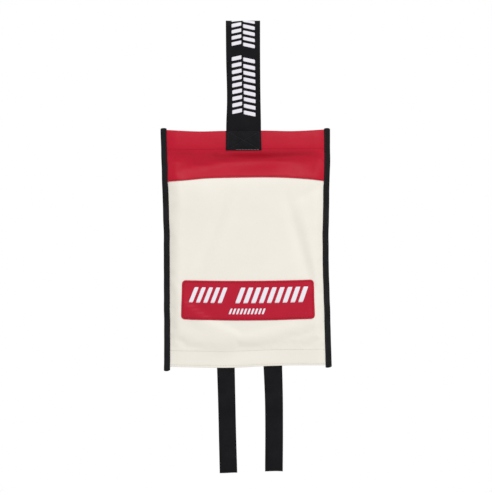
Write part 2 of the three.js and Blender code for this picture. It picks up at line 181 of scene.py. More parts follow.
def thicken(piece, thickness):
    solid = piece.modifiers.new("thickness", "SOLIDIFY")
    solid.thickness = thickness * mm
    solid.offset = 0
    solid.use_even_offset = False


# A cloth from a grid of points down its middle, made solid by its thickness
def makeCloth(name, points, weft, thickness, flip=False):
    points, weft = np.array(points), np.array(weft)
    faces = gridFaces(*points.shape[:2])
    if flip:
        faces = [face[::-1] for face in faces]
    piece = makeObject(name, points.reshape(-1, 3), faces, weft.reshape(-1, 2))
    thicken(piece, thickness)
    return piece


def finishPiece(piece, body, material, slot, *nodes):
    piece.data.materials.append(material)
    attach(piece, body)
    if nodes:
        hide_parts(*nodes)
    return piece


# ---------- the pouch's surface ----------

# Shares run from 0 at the head's top edge to 1 at the mouth; across, from 0 at the left to 1 at the right.
pouch = {
    "leftEdge": [(0, -99.8), (0.085, -99.3), (0.15, -98.6), (0.23, -98.1), (0.34, -97.0), (0.47, -96.2),
                 (0.6, -96.1), (0.72, -96.0), (0.85, -95.7), (1, -95.8)],
    "rightEdge": [(0, 97.3), (0.085, 97.5), (0.15, 97.3), (0.23, 96.7), (0.34, 96.2), (0.47, 95.7), (0.6, 96.1),
                  (0.72, 97.2), (0.85, 98.2), (1, 99.4)],
    "pinch": 5.5,             # sewn margin down each side
    "roundWidth": 14,         # how far in from that margin the cloth reaches its full depth
    "slackCorner": (4, -196, 20),        # the upper left corner is less full: how much wider, where, how far
    "edgeDepth": 1.1,
    "headTop": [(0, 0.8), (0.25, -1.1), (0.34, -0.6), (0.5, -0.2), (0.62, -0.1), (0.78, -0.7), (1, 1.4)],
    "headerSeam": [(0, -0.9), (0.3, -0.2), (0.7, 0.2), (1, 0.5)],
    "bandEdge": [(0, -4.1), (0.12, -2.8), (0.24, -0.6), (0.45, 0.6), (0.75, 0.4), (0.88, -1.2), (1, -3.6)],
    "mouth": [(0, -0.5), (0.45, -1.3), (0.6, 0.3), (0.75, 1.1), (1, 1.2)],
    "crown": 0.5,             # extra depth in the middle, from side to side
    "frontWaves": (0.28, 0.1),           # slow and quick unevenness
    "backWaves": (0.45, 0.12),
    "underStrap": {"middle": -3, "width": 15, "depth": 0.7, "fade": 3},          # the hanging strap presses it in
    "overPull": {"width": 9, "depth": 0.35, "top": 34, "fade": 18},              # the pull straps push it out
}

# How deep the front and the back are down their middles, and the hollow across the front below the head's seam
frontDepth = {
    "points": [(headTopZ, 2.1), (headTopZ - 5, 2.8), (headTopZ - 12, 2.9), (headTopZ - 18, 2.6),
               (headerSeamZ, 2.3), (headerSeamZ - 5, 2.5), (headerSeamZ - 12, 3.5), (headerSeamZ - 20, 5.2), (bandEdgeZ + 5, 6.9),
               (bandEdgeZ - 6, 8.2), (bandEdgeZ - 22, 8.9), (bandEdgeZ - 70, 9.1), (mouthZ + 110, 9.0),
               (mouthZ + 80, 8.5), (mouthZ + 62, 7.8), (mouthZ + 45, 6.8), (mouthZ + 31, 5.6), (upperHemZ, 3.9),
               (upperHemZ - 8, 3.1), (mouthZ, 2.5)],
    "lean": [(headTopZ, 0.6), (headTopZ - 12, -0.9), (headerSeamZ + 2, -2.0), (headerSeamZ - 4, -1.9),
             (headerSeamZ - 16, -0.7), (bandEdgeZ, 0.0), (mouthZ, 0.0)],      # both faces, to the front
    "hollowDepth": 7.2,
    "hollowFade": 8,
    "hollowBelowStretch": 1.7,           # it ends more softly below than above
    "hollowBelow": [(0, 17), (0.25, 16), (0.45, 13.5), (0.62, 12), (0.8, 10), (1, 12)],     # below the head's seam
    "hollowReach": [(0, 8.5), (0.3, 8), (0.5, 6.8), (0.7, 6), (1, 6.5)],
    "hollowAcross": [(0, 0.35), (0.2, 0.62), (0.42, 1.0), (0.58, 1.05), (0.72, 0.78), (0.85, 0.52), (1, 0.3)],
}

leftX = curveThrough(pouch["leftEdge"])
rightX = curveThrough(pouch["rightEdge"])
headTopLine = curveThrough(pouch["headTop"])
headerSeamLine = curveThrough(pouch["headerSeam"])
bandEdgeLine = curveThrough(pouch["bandEdge"])
mouthLine = curveThrough(pouch["mouth"])
depthDown = smoothCurve(frontDepth["points"], 2.2)
leanDown = smoothCurve(frontDepth["lean"], 1.5)
hollowAcross = curveThrough(frontDepth["hollowAcross"])
hollowBelow = curveThrough(frontDepth["hollowBelow"])
hollowReach = curveThrough(frontDepth["hollowReach"])
slowWaves = makeWaves(70)
quickWaves = makeWaves(24)
backWaves = makeWaves(55)

# The pull straps' middle lines: share of the way down from the mouth, and x
pullStrapX = {"left": [(0, -23.9), (0.35, -22.8), (0.7, -21.8), (1, -20.8)],
              "right": [(0, 30.9), (0.3, 32.1), (0.6, 32.4), (1, 32.2)]}

# Folds in the front cloth: the line each runs along, how wide and how deep it is, grooves positive
folds = [
    {"line": [(-14, -176), (-38, -248), (-51, -279), (-66, -318)], "width": 4.8, "depth": 1.0},
    {"line": [(-4, -176), (-28, -248), (-41, -279), (-56, -316)], "width": 5.5, "depth": -0.7},
    {"line": [(-56, -176), (-76, -212), (-100, -238)], "width": 10, "depth": 0.9},
    {"line": [(-38, -184), (-54, -202), (-88, -230)], "width": 10, "depth": -0.7},
    {"line": [(36, -168), (43, -188), (53, -228), (61, -257), (69, -284), (79, -312), (84, -362)],
     "width": 4.6, "depth": 1.3},
    {"line": [(58, -196), (66, -228), (73, -257), (79, -284), (88, -318)], "width": 5.5, "depth": -1.3},
    {"line": [(50, -214), (76, -198), (98, -190)], "width": 4.2, "depth": 1.2},
    {"line": [(-62, -416), (-33, -394), (-8, -384), (22, -381), (66, -377)], "width": 6.5, "depth": 1.15},
    {"line": [(-56, -392), (-20, -370), (22, -367), (66, -363)], "width": 8, "depth": -0.2},
    {"line": [(-96, -192), (-66, -176), (-20, -168)], "width": 7, "depth": 1.0},
    {"line": [(96, -190), (72, -174), (34, -167)], "width": 7, "depth": 1.0},
]
foldFade = 0.4        # share of a fold's length over which each end fades


def shareDown(z):
    return (headTopZ - z) / (headTopZ - mouthZ)


def edgesAt(z):
    share = shareDown(z)
    return leftX(share), rightX(share)


def shareAcross(x, z):
    left, right = edgesAt(z)
    return np.clip((x - left) / (right - left), 0, 1)


def foldDepth(x, z):
    total = np.zeros(np.broadcast(x, z).shape)
    for fold in folds:
        line = np.array(fold["line"], float)
        nearest = np.full(total.shape, 1e9)
        lengthAt = np.zeros(total.shape)
        done = 0
        for a, b in zip(line[:-1], line[1:]):
            step = b - a
            size = np.hypot(*step)
            t = np.clip(((x - a[0]) * step[0] + (z - a[1]) * step[1]) / size ** 2, 0, 1)
            away = np.hypot(x - a[0] - t * step[0], z - a[1] - t * step[1])
            closer = away < nearest
            nearest = np.where(closer, away, nearest)
            lengthAt = np.where(closer, done + t * size, lengthAt)
            done += size
        ends = ramp(lengthAt / done / foldFade) * ramp((1 - lengthAt / done) / foldFade)
        total += fold["depth"] * bell(nearest / fold["width"]) * ends
    return total


# The y of the cloth's outer face: side -1 is the front and +1 the back
def skinY(side, x, z):
    left, right = edgesAt(z)
    inFromEdge = np.minimum(x - left, right - x)
    across = np.clip((x - left) / (right - left), 0, 1)
    wider, slackZ, slackReach = pouch["slackCorner"]
    roundWidth = pouch["roundWidth"] + wider * bell((z - slackZ) / slackReach) * (1 - ramp(across * 2.5))
    rise = np.sin(0.5 * math.pi * np.clip((inFromEdge - pouch["pinch"]) / roundWidth, 0, 1))
    depth = depthDown(z)
    bulk = ramp((depth - 3) / 5)          # 1 where the folded blanket fills the pouch
    strap = pouch["underStrap"]
    depth = depth - strap["depth"] * (bell((x - strap["middle"]) / strap["width"])
                                      * ramp((z - headerSeamZ + strap["fade"]) / strap["fade"]))
    pull = pouch["overPull"]
    for points in pullStrapX.values():
        near = bell((x - points[0][1]) / pull["width"]) * ramp((mouthZ + pull["top"] - z) / pull["fade"])
        depth = depth + pull["depth"] * near
    crown = pouch["crown"] * (1 - np.square(2 * across - 1)) * bulk
    y = pouch["edgeDepth"] + (depth + crown - pouch["edgeDepth"]) * rise
    fromHollow = (z - headerSeamZ + hollowBelow(across)) / hollowReach(across)
    fromHollow = np.where(fromHollow < 0, fromHollow / frontDepth["hollowBelowStretch"], fromHollow)
    hollow = frontDepth["hollowDepth"] * bell(fromHollow) * ramp((headerSeamZ - z) / frontDepth["hollowFade"])
    hollow = hollow * hollowAcross(across) * rise
    if side < 0:
        slow, quick = pouch["frontWaves"]
        y = y - (foldDepth(x, z) + slow * slowWaves(x, z) * bulk + quick * quickWaves(x, z) * bulk) * rise
    else:
        slow, quick = pouch["backWaves"]
        y = y - (slow * backWaves(x, z) * bulk + quick * quickWaves(x + 40, z) * bulk) * rise
    return side * y + leanDown(z) * rise + hollow + liftAt(side, x, z)


# How the cloth settles: a closed pillow of both faces, blown out by pressure and held along its sewn edges
settling = {"columns": 49, "rows": 66, "frames": 18, "pressure": 1.6, "gravity": 0.06, "spare": 0.006, "cap": 1.3,
            "quality": 6, "mass": 0.3, "airDamping": 2.0, "stretch": 25, "shear": 12, "bending": 0.8,
            "sideHeld": 0.045, "headHeld": 4, "hemHeld": 6}
settledLift = {-1: None, 1: None}


def settleCloth():
    columns, rows = settling["columns"], settling["rows"]
    shares, heights = np.linspace(0, 1, columns), np.linspace(headTopZ - 3, mouthZ + 2, rows)
    share, height = np.meshgrid(shares, heights)
    x = acrossPouch(height, 0.6, share)
    sheets = [np.stack([x, skinY(side, x, height), height], -1).reshape(-1, 3) for side in (-1, 1)]
    count = rows * columns
    ring = list(range(columns)) + [r * columns + columns - 1 for r in range(1, rows)]
    ring += [count - 2 - c for c in range(columns - 1)] + [r * columns for r in range(rows - 2, 0, -1)]
    rim = [(a, b, b + count, a + count) for a, b in zip(ring, ring[1:] + ring[:1])]
    front = gridFaces(rows, columns)
    back = [[i + count for i in face[::-1]] for face in front]
    faces = [face[::-1] for face in front + back] + rim
    pillow = makeObject("settling_cloth", np.vstack(sheets), faces, np.zeros((2 * count, 2)))
    headHeld, hemHeld = settling["headHeld"], settling["hemHeld"]
    held = np.maximum(1 - ramp((0.5 - np.abs(share - 0.5)) / settling["sideHeld"]), 0)
    held = np.maximum(held, ramp((height - headerSeamZ + headHeld) / headHeld))
    held = np.maximum(held, ramp((upperHemZ + hemHeld - height) / hemHeld)).ravel()
    group = pillow.vertex_groups.new(name="held")
    for i, value in enumerate(np.tile(held, 2)):
        group.add([i], float(value), "REPLACE")
    cloth = pillow.modifiers.new("settle", "CLOTH")
    values = cloth.settings
    values.quality, values.mass, values.air_damping = (settling[key] for key in ("quality", "mass", "airDamping"))
    values.tension_stiffness = values.compression_stiffness = settling["stretch"]
    values.shear_stiffness, values.bending_stiffness = settling["shear"], settling["bending"]
    values.shrink_min = -settling["spare"]
    values.vertex_group_mass = group.name
    values.use_pressure, values.uniform_pressure_force = True, settling["pressure"]
    values.effector_weights.gravity = settling["gravity"]
    cloth.collision_settings.use_collision = False
    cloth.point_cache.frame_start, cloth.point_cache.frame_end = 1, settling["frames"]
    for step in range(1, settling["frames"] + 1):
        bpy.context.scene.frame_set(step)
    settled = pillow.evaluated_get(bpy.context.evaluated_depsgraph_get())
    mesh = settled.to_mesh()
    now = np.zeros(len(mesh.vertices) * 3)
    mesh.vertices.foreach_get("co", now)
    settled.to_mesh_clear()
    moved = (now.reshape(-1, 3) / mm - np.vstack(sheets))[:, 1].reshape(2, rows, columns)
    data = pillow.data
    bpy.data.objects.remove(pillow)
    bpy.data.meshes.remove(data)
    bpy.context.scene.frame_set(1)
    cap = settling["cap"]
    moved = cap * np.tanh(moved / cap) * (1 - held.reshape(rows, columns))
    print("cloth settled: moved up to", round(float(np.abs(moved).max()), 2), "mm, typically",
          round(float(np.abs(moved).mean()), 2), "mm")
    settledLift[-1], settledLift[1] = (moved[0], heights), (moved[1], heights)


# The settled cloth's lift at a place, between the corners of its grid
def liftAt(side, x, z):
    if settledLift[side] is None:
        return 0.0
    moved, heights = settledLift[side]
    rows, columns = moved.shape
    r = np.clip((z - heights[0]) / (heights[-1] - heights[0]) * (rows - 1), 0, rows - 1.001)
    c = np.clip(shareAcross(x, z) * (columns - 1), 0, columns - 1.001)
    r, c = np.broadcast_arrays(r, c)
    i, j = r.astype(int), c.astype(int)
    a, b = ramp(r - i), ramp(c - j)
    return ((moved[i, j] * (1 - b) + moved[i, j + 1] * b) * (1 - a)
            + (moved[i + 1, j] * (1 - b) + moved[i + 1, j + 1] * b) * a)


def skinNormal(side, x, z):
    d = 0.4               # short enough to follow the folds
    slopeX = (skinY(side, x + d, z) - skinY(side, x - d, z)) / (2 * d)
    slopeZ = (skinY(side, x, z + d) - skinY(side, x, z - d)) / (2 * d)
    normal = np.stack([slopeX, -np.ones_like(slopeX), slopeZ], -1) * (1 if side < 0 else -1)
    return normal / np.linalg.norm(normal, axis=-1, keepdims=True)


# A point that stands off the cloth's outer face by that much, outwards
def onSkin(side, x, z, stand):
    x, z = np.broadcast_arrays(np.asarray(x, float), np.asarray(z, float))
    base = np.stack([x, skinY(side, x, z), z], -1)
    return base + skinNormal(side, x, z) * np.asarray(stand, float)[..., None]


def acrossPouch(z, inset, shares):
    left, right = edgesAt(z)
    return left + inset + (right - left - 2 * inset) * shares


settleCloth()


# ---------- materials ----------

def nodeTools(material):
    material.use_nodes = True
    tree = material.node_tree
    shader = tree.nodes["Principled BSDF"]

    # A node, its settings, and its inputs: each a plain value or another node's socket
    def add(kind, values=None, **settings):
        node = tree.nodes.new(kind)
        for key, value in settings.items():
            setattr(node, key, value)
        for key, value in (values or {}).items():
            if isinstance(value, bpy.types.NodeSocket):
                tree.links.new(value, node.inputs[key])
            else:
                node.inputs[key].default_value = value
        return node

    def calc(operation, *values):
        return add("ShaderNodeMath", dict(enumerate(values)), operation=operation).outputs[0]

    # Rounded ridges side by side, each that wide
    def ridges(value, width):
        return calc("ABSOLUTE", calc("SINE", calc("MULTIPLY", value, math.pi / width)))

    def mixColour(factor, first, second):
        return add("ShaderNodeMix", {0: factor, 6: first, 7: second}, data_type="RGBA").outputs[2]

    def noise(vector, scale, detail=3.0, roughness=0.55):
        values = {"Vector": vector, "Scale": scale, "Detail": detail, "Roughness": roughness}
        return add("ShaderNodeTexNoise", values).outputs["Fac"]

    def spread(value, low, high, toLow=0.0, toHigh=1.0):
        return add("ShaderNodeMapRange", {"Value": value, "From Min": low, "From Max": high,
                                          "To Min": toLow, "To Max": toHigh}).outputs["Result"]

    def bump(height, distance):
        node = add("ShaderNodeBump", {"Height": height, "Distance": distance * mm, "Strength": 1.0})
        return node.outputs["Normal"]

    def weft():
        vector = add("ShaderNodeAttribute", attribute_name="weft").outputs["Vector"]
        split = add("ShaderNodeSeparateXYZ", {"Vector": vector})
        return vector, split.outputs["X"], split.outputs["Y"]

    def wire(socket, value):
        tree.links.new(value, shader.inputs[socket])

    return SimpleNamespace(tree=tree, shader=shader, add=add, calc=calc, ridges=ridges, mixColour=mixColour,
                           noise=noise, spread=spread, bump=bump, weft=weft, wire=wire)


# A colour for a socket, made darker or lighter by a factor
def colour(base, factor=1.0):
    return (*(min(1.0, part * factor) for part in base), 1.0)


def newMaterial(name, base, roughness, specular=0.5, sheen=0.0, sheenRoughness=0.5):
    material = bpy.data.materials.new(name)
    tools = nodeTools(material)
    tools.shader.inputs["Base Color"].default_value = colour(base)
    tools.shader.inputs["Roughness"].default_value = roughness
    tools.shader.inputs["Specular IOR Level"].default_value = specular
    tools.shader.inputs["Sheen Weight"].default_value = sheen
    tools.shader.inputs["Sheen Roughness"].default_value = sheenRoughness
    material.diffuse_color = colour(base)
    return material, tools


# Narrow-loom webbing: warp cords side by side, each crossed by picks half a step from its neighbour's
def makeWebbing(name, cord, pick, base, lift):
    material, t = newMaterial(name, base, 0.62, specular=0.1, sheen=0.01, sheenRoughness=0.4)
    vector, u, v = t.weft()
    column = t.calc("DIVIDE", u, cord)
    ridge = t.ridges(column, 1.0)
    phase = t.calc("MULTIPLY", t.calc("FLOOR", column), 0.5)
    picks = t.ridges(t.calc("ADD", t.calc("DIVIDE", v, pick), phase), 1.0)
    weave = t.calc("MULTIPLY", t.calc("POWER", ridge, 0.7), t.calc("MULTIPLY_ADD", picks, 0.65, 0.35))
    fibres = t.noise(vector, 2.6, 4.0)
    height = t.calc("MULTIPLY_ADD", fibres, 0.25, weave)
    t.wire("Normal", t.bump(height, lift))
    wear = t.noise(vector, 0.045, 3.0)
    # Colour: painted shade in the weave's hollows and lighter raised cords, on top of uneven wear
    hollowShadeAndTone = t.calc("ADD", t.calc("MULTIPLY", weave, 0.55), t.spread(wear, 0.35, 0.7, 0.0, 0.45))
    t.wire("Base Color", t.mixColour(hollowShadeAndTone, colour(base, 0.55), colour(base, 1.75)))
    t.wire("Roughness", t.spread(t.noise(vector, 0.3), 0.3, 0.7, 0.54, 0.74))
    return material


# Grosgrain tape: fine ribs from edge to edge
def makeBinding(name, base):
    material, t = newMaterial(name, base, 0.66, specular=0.13, sheen=0.012, sheenRoughness=0.45)
    vector, u, v = t.weft()
    weave = t.calc("MULTIPLY", t.calc("POWER", t.ridges(v, 0.85), 0.6),
                   t.calc("MULTIPLY_ADD", t.ridges(u, 0.4), 0.35, 0.65))
    height = t.calc("MULTIPLY_ADD", t.noise(vector, 2.2, 3.0), 0.3, weave)
    t.wire("Normal", t.bump(height, 0.13))
    worn = t.spread(t.noise(vector, 0.06, 4.0), 0.4, 0.75, 0.0, 0.6)
    # Colour: painted shade in the hollows between the ribs and lighter ribs, on top of uneven wear
    hollowShadeAndTone = t.calc("ADD", t.calc("MULTIPLY", weave, 0.5), worn)
    t.wire("Base Color", t.mixColour(hollowShadeAndTone, colour(base, 0.6), colour(base, 1.7)))
    t.wire("Roughness", t.spread(t.noise(vector, 0.4), 0.3, 0.7, 0.58, 0.78))
    return material


# Leathercloth: a pebbled coating over cloth
def makeLeathercloth(name, deep, light):
    material, t = newMaterial(name, light, 0.46, specular=0.17)
    vector, u, v = t.weft()
    wander = t.add("ShaderNodeTexNoise", {"Vector": vector, "Scale": 0.9, "Detail": 2.0}).outputs["Color"]
    shift = t.add("ShaderNodeVectorMath", {0: wander, 1: (0.7, 0.7, 0)}, operation="MULTIPLY").outputs[0]
    warped = t.add("ShaderNodeVectorMath", {0: vector, 1: shift}, operation="ADD").outputs[0]
    cells = t.add("ShaderNodeTexVoronoi", {"Vector": warped, "Scale": 1.25}, feature="DISTANCE_TO_EDGE")
    pebble = t.calc("POWER", t.spread(cells.outputs["Distance"], 0.0, 0.32), 0.5)
    fine = t.noise(vector, 3.4, 3.0)
    height = t.calc("MULTIPLY_ADD", fine, 0.25, pebble)
    t.wire("Normal", t.bump(height, 0.055))
    # Colour: random mottled tone, with painted shade in the creases between the pebbles and their tops lighter
    mottle = t.spread(t.noise(vector, 0.035, 4.0), 0.3, 0.72)
    hollowShadeAndTone = t.calc("MULTIPLY_ADD", mottle, 0.6, t.calc("MULTIPLY", pebble, 0.4))
    t.wire("Base Color", t.mixColour(hollowShadeAndTone, colour(deep), colour(light)))
    worn = t.calc("ADD", t.noise(vector, 0.12), t.calc("MULTIPLY", pebble, 0.3))
    t.wire("Roughness", t.spread(worn, 0.5, 1.0, 0.38, 0.54))
    return material


# Coated cloth: a fine plain weave that shows faintly through its coating
def makeCoatedCloth(name, warm, cool):
    material, t = newMaterial(name, warm, 0.6, specular=0.25, sheen=0.04)
    vector, u, v = t.weft()
    yarn = 0.9
    across = t.calc("SINE", t.calc("MULTIPLY", u, 2 * math.pi / yarn))
    down = t.calc("SINE", t.calc("MULTIPLY", v, 2 * math.pi / yarn))
    weave = t.calc("MULTIPLY", across, down)
    slub = t.noise(vector, 1.6, 4.0)
    height = t.calc("MULTIPLY_ADD", slub, 1.2, t.calc("MULTIPLY", weave, 0.35))
    t.wire("Normal", t.bump(height, 0.035))
    mottle = t.spread(t.noise(vector, 0.02, 3.0), 0.35, 0.68)
    tint = t.mixColour(mottle, colour(cool), colour(warm))
    specks = t.spread(t.noise(vector, 0.55, 2.0, 0.4), 0.73, 0.8, 0.0, 0.1)
    t.wire("Base Color", t.mixColour(specks, tint, colour(cool, 0.8)))
    t.wire("Roughness", t.spread(t.noise(vector, 0.2), 0.3, 0.7, 0.55, 0.68))
    return material


# Sewing thread: two plies twisted round each other
def makeThread(name, base, specular=0.4):
    material, t = newMaterial(name, base, 0.5, specular=specular, sheen=0.02)
    vector, u, v = t.weft()
    turns = t.calc("ADD", u, t.calc("MULTIPLY", v, 1.3))
    twist = t.calc("SINE", t.calc("MULTIPLY", turns, 2 * math.pi))
    t.wire("Normal", t.bump(twist, 0.05))
    # The colour follows the twist: painted shade in the grooves between the plies and painted highlight on their crowns
    t.wire("Base Color", t.mixColour(t.spread(twist, -1.0, 1.0), colour(base, 0.7), colour(base, 1.25)))
    return material


# Woven glass fibre: a twill of flat shiny bundles
def makeGlassCloth(name, base):
    material, t = newMaterial(name, base, 0.45, specular=0.5, sheen=0.15)
    vector, u, v = t.weft()
    bundle = 1.2
    column, row = (t.calc("FLOOR", t.calc("DIVIDE", place, bundle)) for place in (u, v))
    diagonal = t.calc("FRACT", t.calc("DIVIDE", t.calc("ADD", column, row), 3.0))
    over = t.calc("GREATER_THAN", diagonal, 0.4)
    warp = t.calc("MULTIPLY", t.ridges(u, bundle), over)
    fill = t.calc("MULTIPLY", t.ridges(v, bundle), t.calc("SUBTRACT", 1.0, over))
    height = t.calc("ADD", warp, fill)
    t.wire("Normal", t.bump(t.calc("MULTIPLY_ADD", t.noise(vector, 3.0), 0.3, height), 0.16))
    dusty = t.spread(t.noise(vector, 0.03, 4.0), 0.35, 0.7)
    tint = t.mixColour(dusty, colour(base, 0.9), colour(base))
    # Painted shade in the dips between the bundles
    between = t.calc("MULTIPLY", t.calc("SUBTRACT", 1.0, height), 0.35)
    t.wire("Base Color", t.mixColour(between, tint, colour(base, 0.62)))
    t.wire("Roughness", t.spread(height, 0.0, 1.0, 0.62, 0.4))
    return material


# Closure tape: looped pile or rows of small hooks on a knitted ground
def makePile(name, base, scale, lift):
    material, t = newMaterial(name, base, 0.85, specular=0.2, sheen=0.3)
    vector, u, v = t.weft()
    fluff = t.noise(vector, scale, 5.0, 0.7)
    t.wire("Normal", t.bump(t.calc("MULTIPLY_ADD", t.ridges(v, 1.6), 0.5, fluff), lift))
    # Darker where the fluff sits lower: painted shade in the pile, with uneven tone
    t.wire("Base Color", t.mixColour(t.spread(fluff, 0.3, 0.7), colour(base, 0.6), colour(base)))
    return material


# Screen print: a thin even ink that follows the weave under it
def makePrint(name, base, grain):
    material, t = newMaterial(name, base, 0.48, specular=0.35)
    vector, u, v = t.weft()
    ground = t.noise(vector, grain, 3.0)
    t.wire("Normal", t.bump(ground, 0.04))
    t.wire("Base Color", t.mixColour(t.spread(ground, 0.35, 0.8, 0.0, 0.35), colour(base), colour(base, 0.86)))
    t.wire("Roughness", t.spread(t.noise(vector, 0.5), 0.3, 0.7, 0.42, 0.56))
    return material


materials = {
    "hangWebbing": makeWebbing("hang_webbing", 1.25, 2.0, (0.006, 0.006, 0.0072), 0.16),
    "pullWebbing": makeWebbing("pull_webbing", 1.0, 1.7, (0.0062, 0.0062, 0.0074), 0.16),
    "binding": makeBinding("grosgrain_binding", (0.0085, 0.008, 0.0092)),
    "bandLeathercloth": makeLeathercloth("red_leathercloth", (0.47, 0.006, 0.023), (0.52, 0.0076, 0.03)),
    "labelLeathercloth": makeLeathercloth("label_leathercloth", (0.455, 0.0085, 0.029), (0.5, 0.0105, 0.036)),
    "ivoryCloth": makeCoatedCloth("ivory_coated_cloth", (0.862, 0.842, 0.752), (0.852, 0.828, 0.742)),
    "glassCloth": makeGlassCloth("glass_cloth", (0.8, 0.77, 0.68)),
    "blackThread": makeThread("black_thread", (0.014, 0.014, 0.016), 0.4),
    "redThread": makeThread("red_thread", (0.4, 0.0048, 0.017), 0.15),
    # A pale thread that paints glints of light on black stitching
    "glintPaintedThread": makeThread("glint_painted_thread", (0.3, 0.3, 0.31)),
    "ivoryThread": makeThread("ivory_thread", (0.8, 0.75, 0.65), 0.15),
    "loopTape": makePile("loop_pile", (0.72, 0.7, 0.63), 1.8, 0.5),
    "hookTape": makePile("hook_tape", (0.66, 0.64, 0.58), 0.8, 0.4),
    "strapPrint": makePrint("strap_print", (0.84, 0.82, 0.88), 1.3),
    "labelPrint": makePrint("label_print", (0.86, 0.84, 0.9), 1.0),
}
print("materials made:", len(materials))


# ---------- stitches ----------

threadSettings = {"pitch": 3.0, "length": 2.45, "radius": 0.3, "rings": 7, "sides": 6,
                  "sideInset": 7.3}           # where a seam across the pouch starts, in from its side


# Separate stitches along a line that lies on cloth, each one dipping into it at both ends
def sewAlong(line, outward, pitch=None, radius=None, closed=False):
    pitch = pitch or threadSettings["pitch"]
    radius = radius or threadSettings["radius"]
    length = threadSettings["length"] * pitch / threadSettings["pitch"]
    rings, sides = threadSettings["rings"], threadSettings["sides"]
    line = np.asarray(line, float)
    outward = np.asarray(outward, float)
    if closed:
        line = np.vstack([line, line[:1]])
        outward = np.vstack([outward, outward[:1]])
    along = distanceAlong(line)
    count = max(1, int(round(along[-1] / pitch)))
    centres = (np.arange(count) + 0.5) * along[-1] / count

    def at(s, values):
        return np.stack([np.interp(s, along, values[:, k]) for k in range(3)], -1)

    middle = at(centres, line)
    forward = at(centres + 0.5, line) - at(centres - 0.5, line)
    forward /= np.linalg.norm(forward, axis=1, keepdims=True)
    up = at(centres, outward)
    sideways = np.cross(forward, up)
    sideways /= np.linalg.norm(sideways, axis=1, keepdims=True)
    up = np.cross(sideways, forward)
    forward = forward + sideways * rng.normal(0.06, 0.035, (count, 1))        # each a little askew
    t = np.linspace(-1, 1, rings)
    lift = radius * (0.75 - 1.5 * t ** 6)
    girth = radius * np.sqrt(np.clip(1 - 0.85 * t ** 8, 0, 1))
    angle = np.arange(sides) * 2 * math.pi / sides
    jitter = rng.normal(0, 0.05, (count, 1, 1))
    ringCentre = (middle[:, None] + forward[:, None] * (t * length / 2)[None, :, None]
                  + up[:, None] * (lift[None, :, None] + jitter * radius))
    ringed = (ringCentre[:, :, None] + up[:, None, None] * (girth[:, None] * np.cos(angle))[None, :, :, None] * 0.85
              + sideways[:, None, None] * (girth[:, None] * np.sin(angle))[None, :, :, None])
    points = ringed.reshape(-1, 3)
    weft = np.zeros((count, rings, sides, 2))
    weft[..., 0] = (t * length / 2)[None, :, None] + np.arange(count)[:, None, None] * 7.3
    weft[..., 1] = (angle / (2 * math.pi))[None, None, :]
    faces = []
    for stitch in range(count):
        start = stitch * rings * sides
        for ring in range(rings - 1):
            for side in range(sides):
                a = start + ring * sides + side
                b = start + ring * sides + (side + 1) % sides
                faces.append((a, b, b + sides, a + sides))
        last = start + (rings - 1) * sides
        faces.append(tuple(range(start, start + sides))[::-1])
        faces.append(tuple(range(last, last + sides)))
    return points, faces, weft.reshape(-1, 2)


def makeStitching(name, runs):
    faces = []
    count = 0
    for points, runFaces, _ in runs:
        faces += [tuple(i + count for i in face) for face in runFaces]
        count += len(points)
    return makeObject(name, np.vstack([run[0] for run in runs]), faces, np.vstack([run[2] for run in runs]))


# A seam across the pouch, from a function of the share across that gives its height
def crossSeam(name, side, heightAt, stand, thread, node):
    shares = np.linspace(0.001, 0.999, 160)
    z = heightAt(shares)
    x = acrossPouch(z, threadSettings["sideInset"], shares)
    run = sewAlong(onSkin(side, x, z, stand), skinNormal(side, x, z))
    finishPiece(makeStitching(name, [run]), "pouch", materials[f"{thread}Thread"], f"{thread}_thread", node)


# ---------- panels ----------

panelCloth = {"thickness": 0.8, "hemTurn": 0.5, "hemLength": 18.5, "step": 2.6, "seamDip": 0.07, "columns": 79,
              "underBand": 6, "sideInset": 1.2, "mouthReach": 40, "stitchStand": -0.25}


# How far the thread draws the cloth in, along a seam
def seamDip(z, lineZ):
    return panelCloth["seamDip"] * bell((z - lineZ) / 0.75)


# From under the band down the outside, round the mouth's turned edge, and up the inside of the hem
def makePanel(word, side):
    across = np.linspace(0, 1, panelCloth["columns"])
    seams = (upperHemZ, lowerHemZ)
    middle = -panelCloth["thickness"] / 2
    rows, weft = [], []
    for z0 in stops(headTopZ - panelCloth["underBand"], mouthZ + 0.5, panelCloth["step"], seams):
        z = z0 + mouthLine(across) * ramp((mouthZ + panelCloth["mouthReach"] - z0) / panelCloth["mouthReach"])
        x = acrossPouch(z, panelCloth["sideInset"], across)
        dip = sum(seamDip(z0, seam) for seam in seams)
        rows.append(onSkin(side, x, z, middle - dip))
        weft.append(weftRow(x, -z0))
        length = -z0
    turn = panelCloth["hemTurn"]
    edge = mouthZ + turn + mouthLine(across)
    x = acrossPouch(edge, panelCloth["sideInset"], across)
    for angle in np.linspace(0, math.pi, 7)[1:]:
        row = onSkin(side, x, edge, middle - turn + turn * math.cos(angle))
        row[:, 2] = edge - turn * math.sin(angle)
        rows.append(row)
        length += turn * math.pi / 6
        weft.append(weftRow(x, length))
    for rise in np.linspace(2, panelCloth["hemLength"], 7):
        rows.append(onSkin(side, x, edge + rise, middle - 2 * turn))
        weft.append(weftRow(x, length + rise))
    piece = makeCloth(f"{word}_cloth", rows, weft, panelCloth["thickness"] * 0.92, flip=side > 0)
    finishPiece(piece, "pouch", materials["ivoryCloth"], "ivory_cloth", f"{word}_panel", f"{word}_mouth_flap")


makePanel("front", -1)
makePanel("back", 1)
for word, side in (("front", -1), ("back", 1)):
    for level, seamZ in (("upper", upperHemZ), ("lower", lowerHemZ)):
        crossSeam(f"{word}_{level}_hem_stitches", side, lambda s: seamZ + 0.85 * mouthLine(s),
                  panelCloth["stitchStand"], "ivory", f"{word}_mouth_{level}_seam")
print("panels and hems made")


# ---------- header band ----------

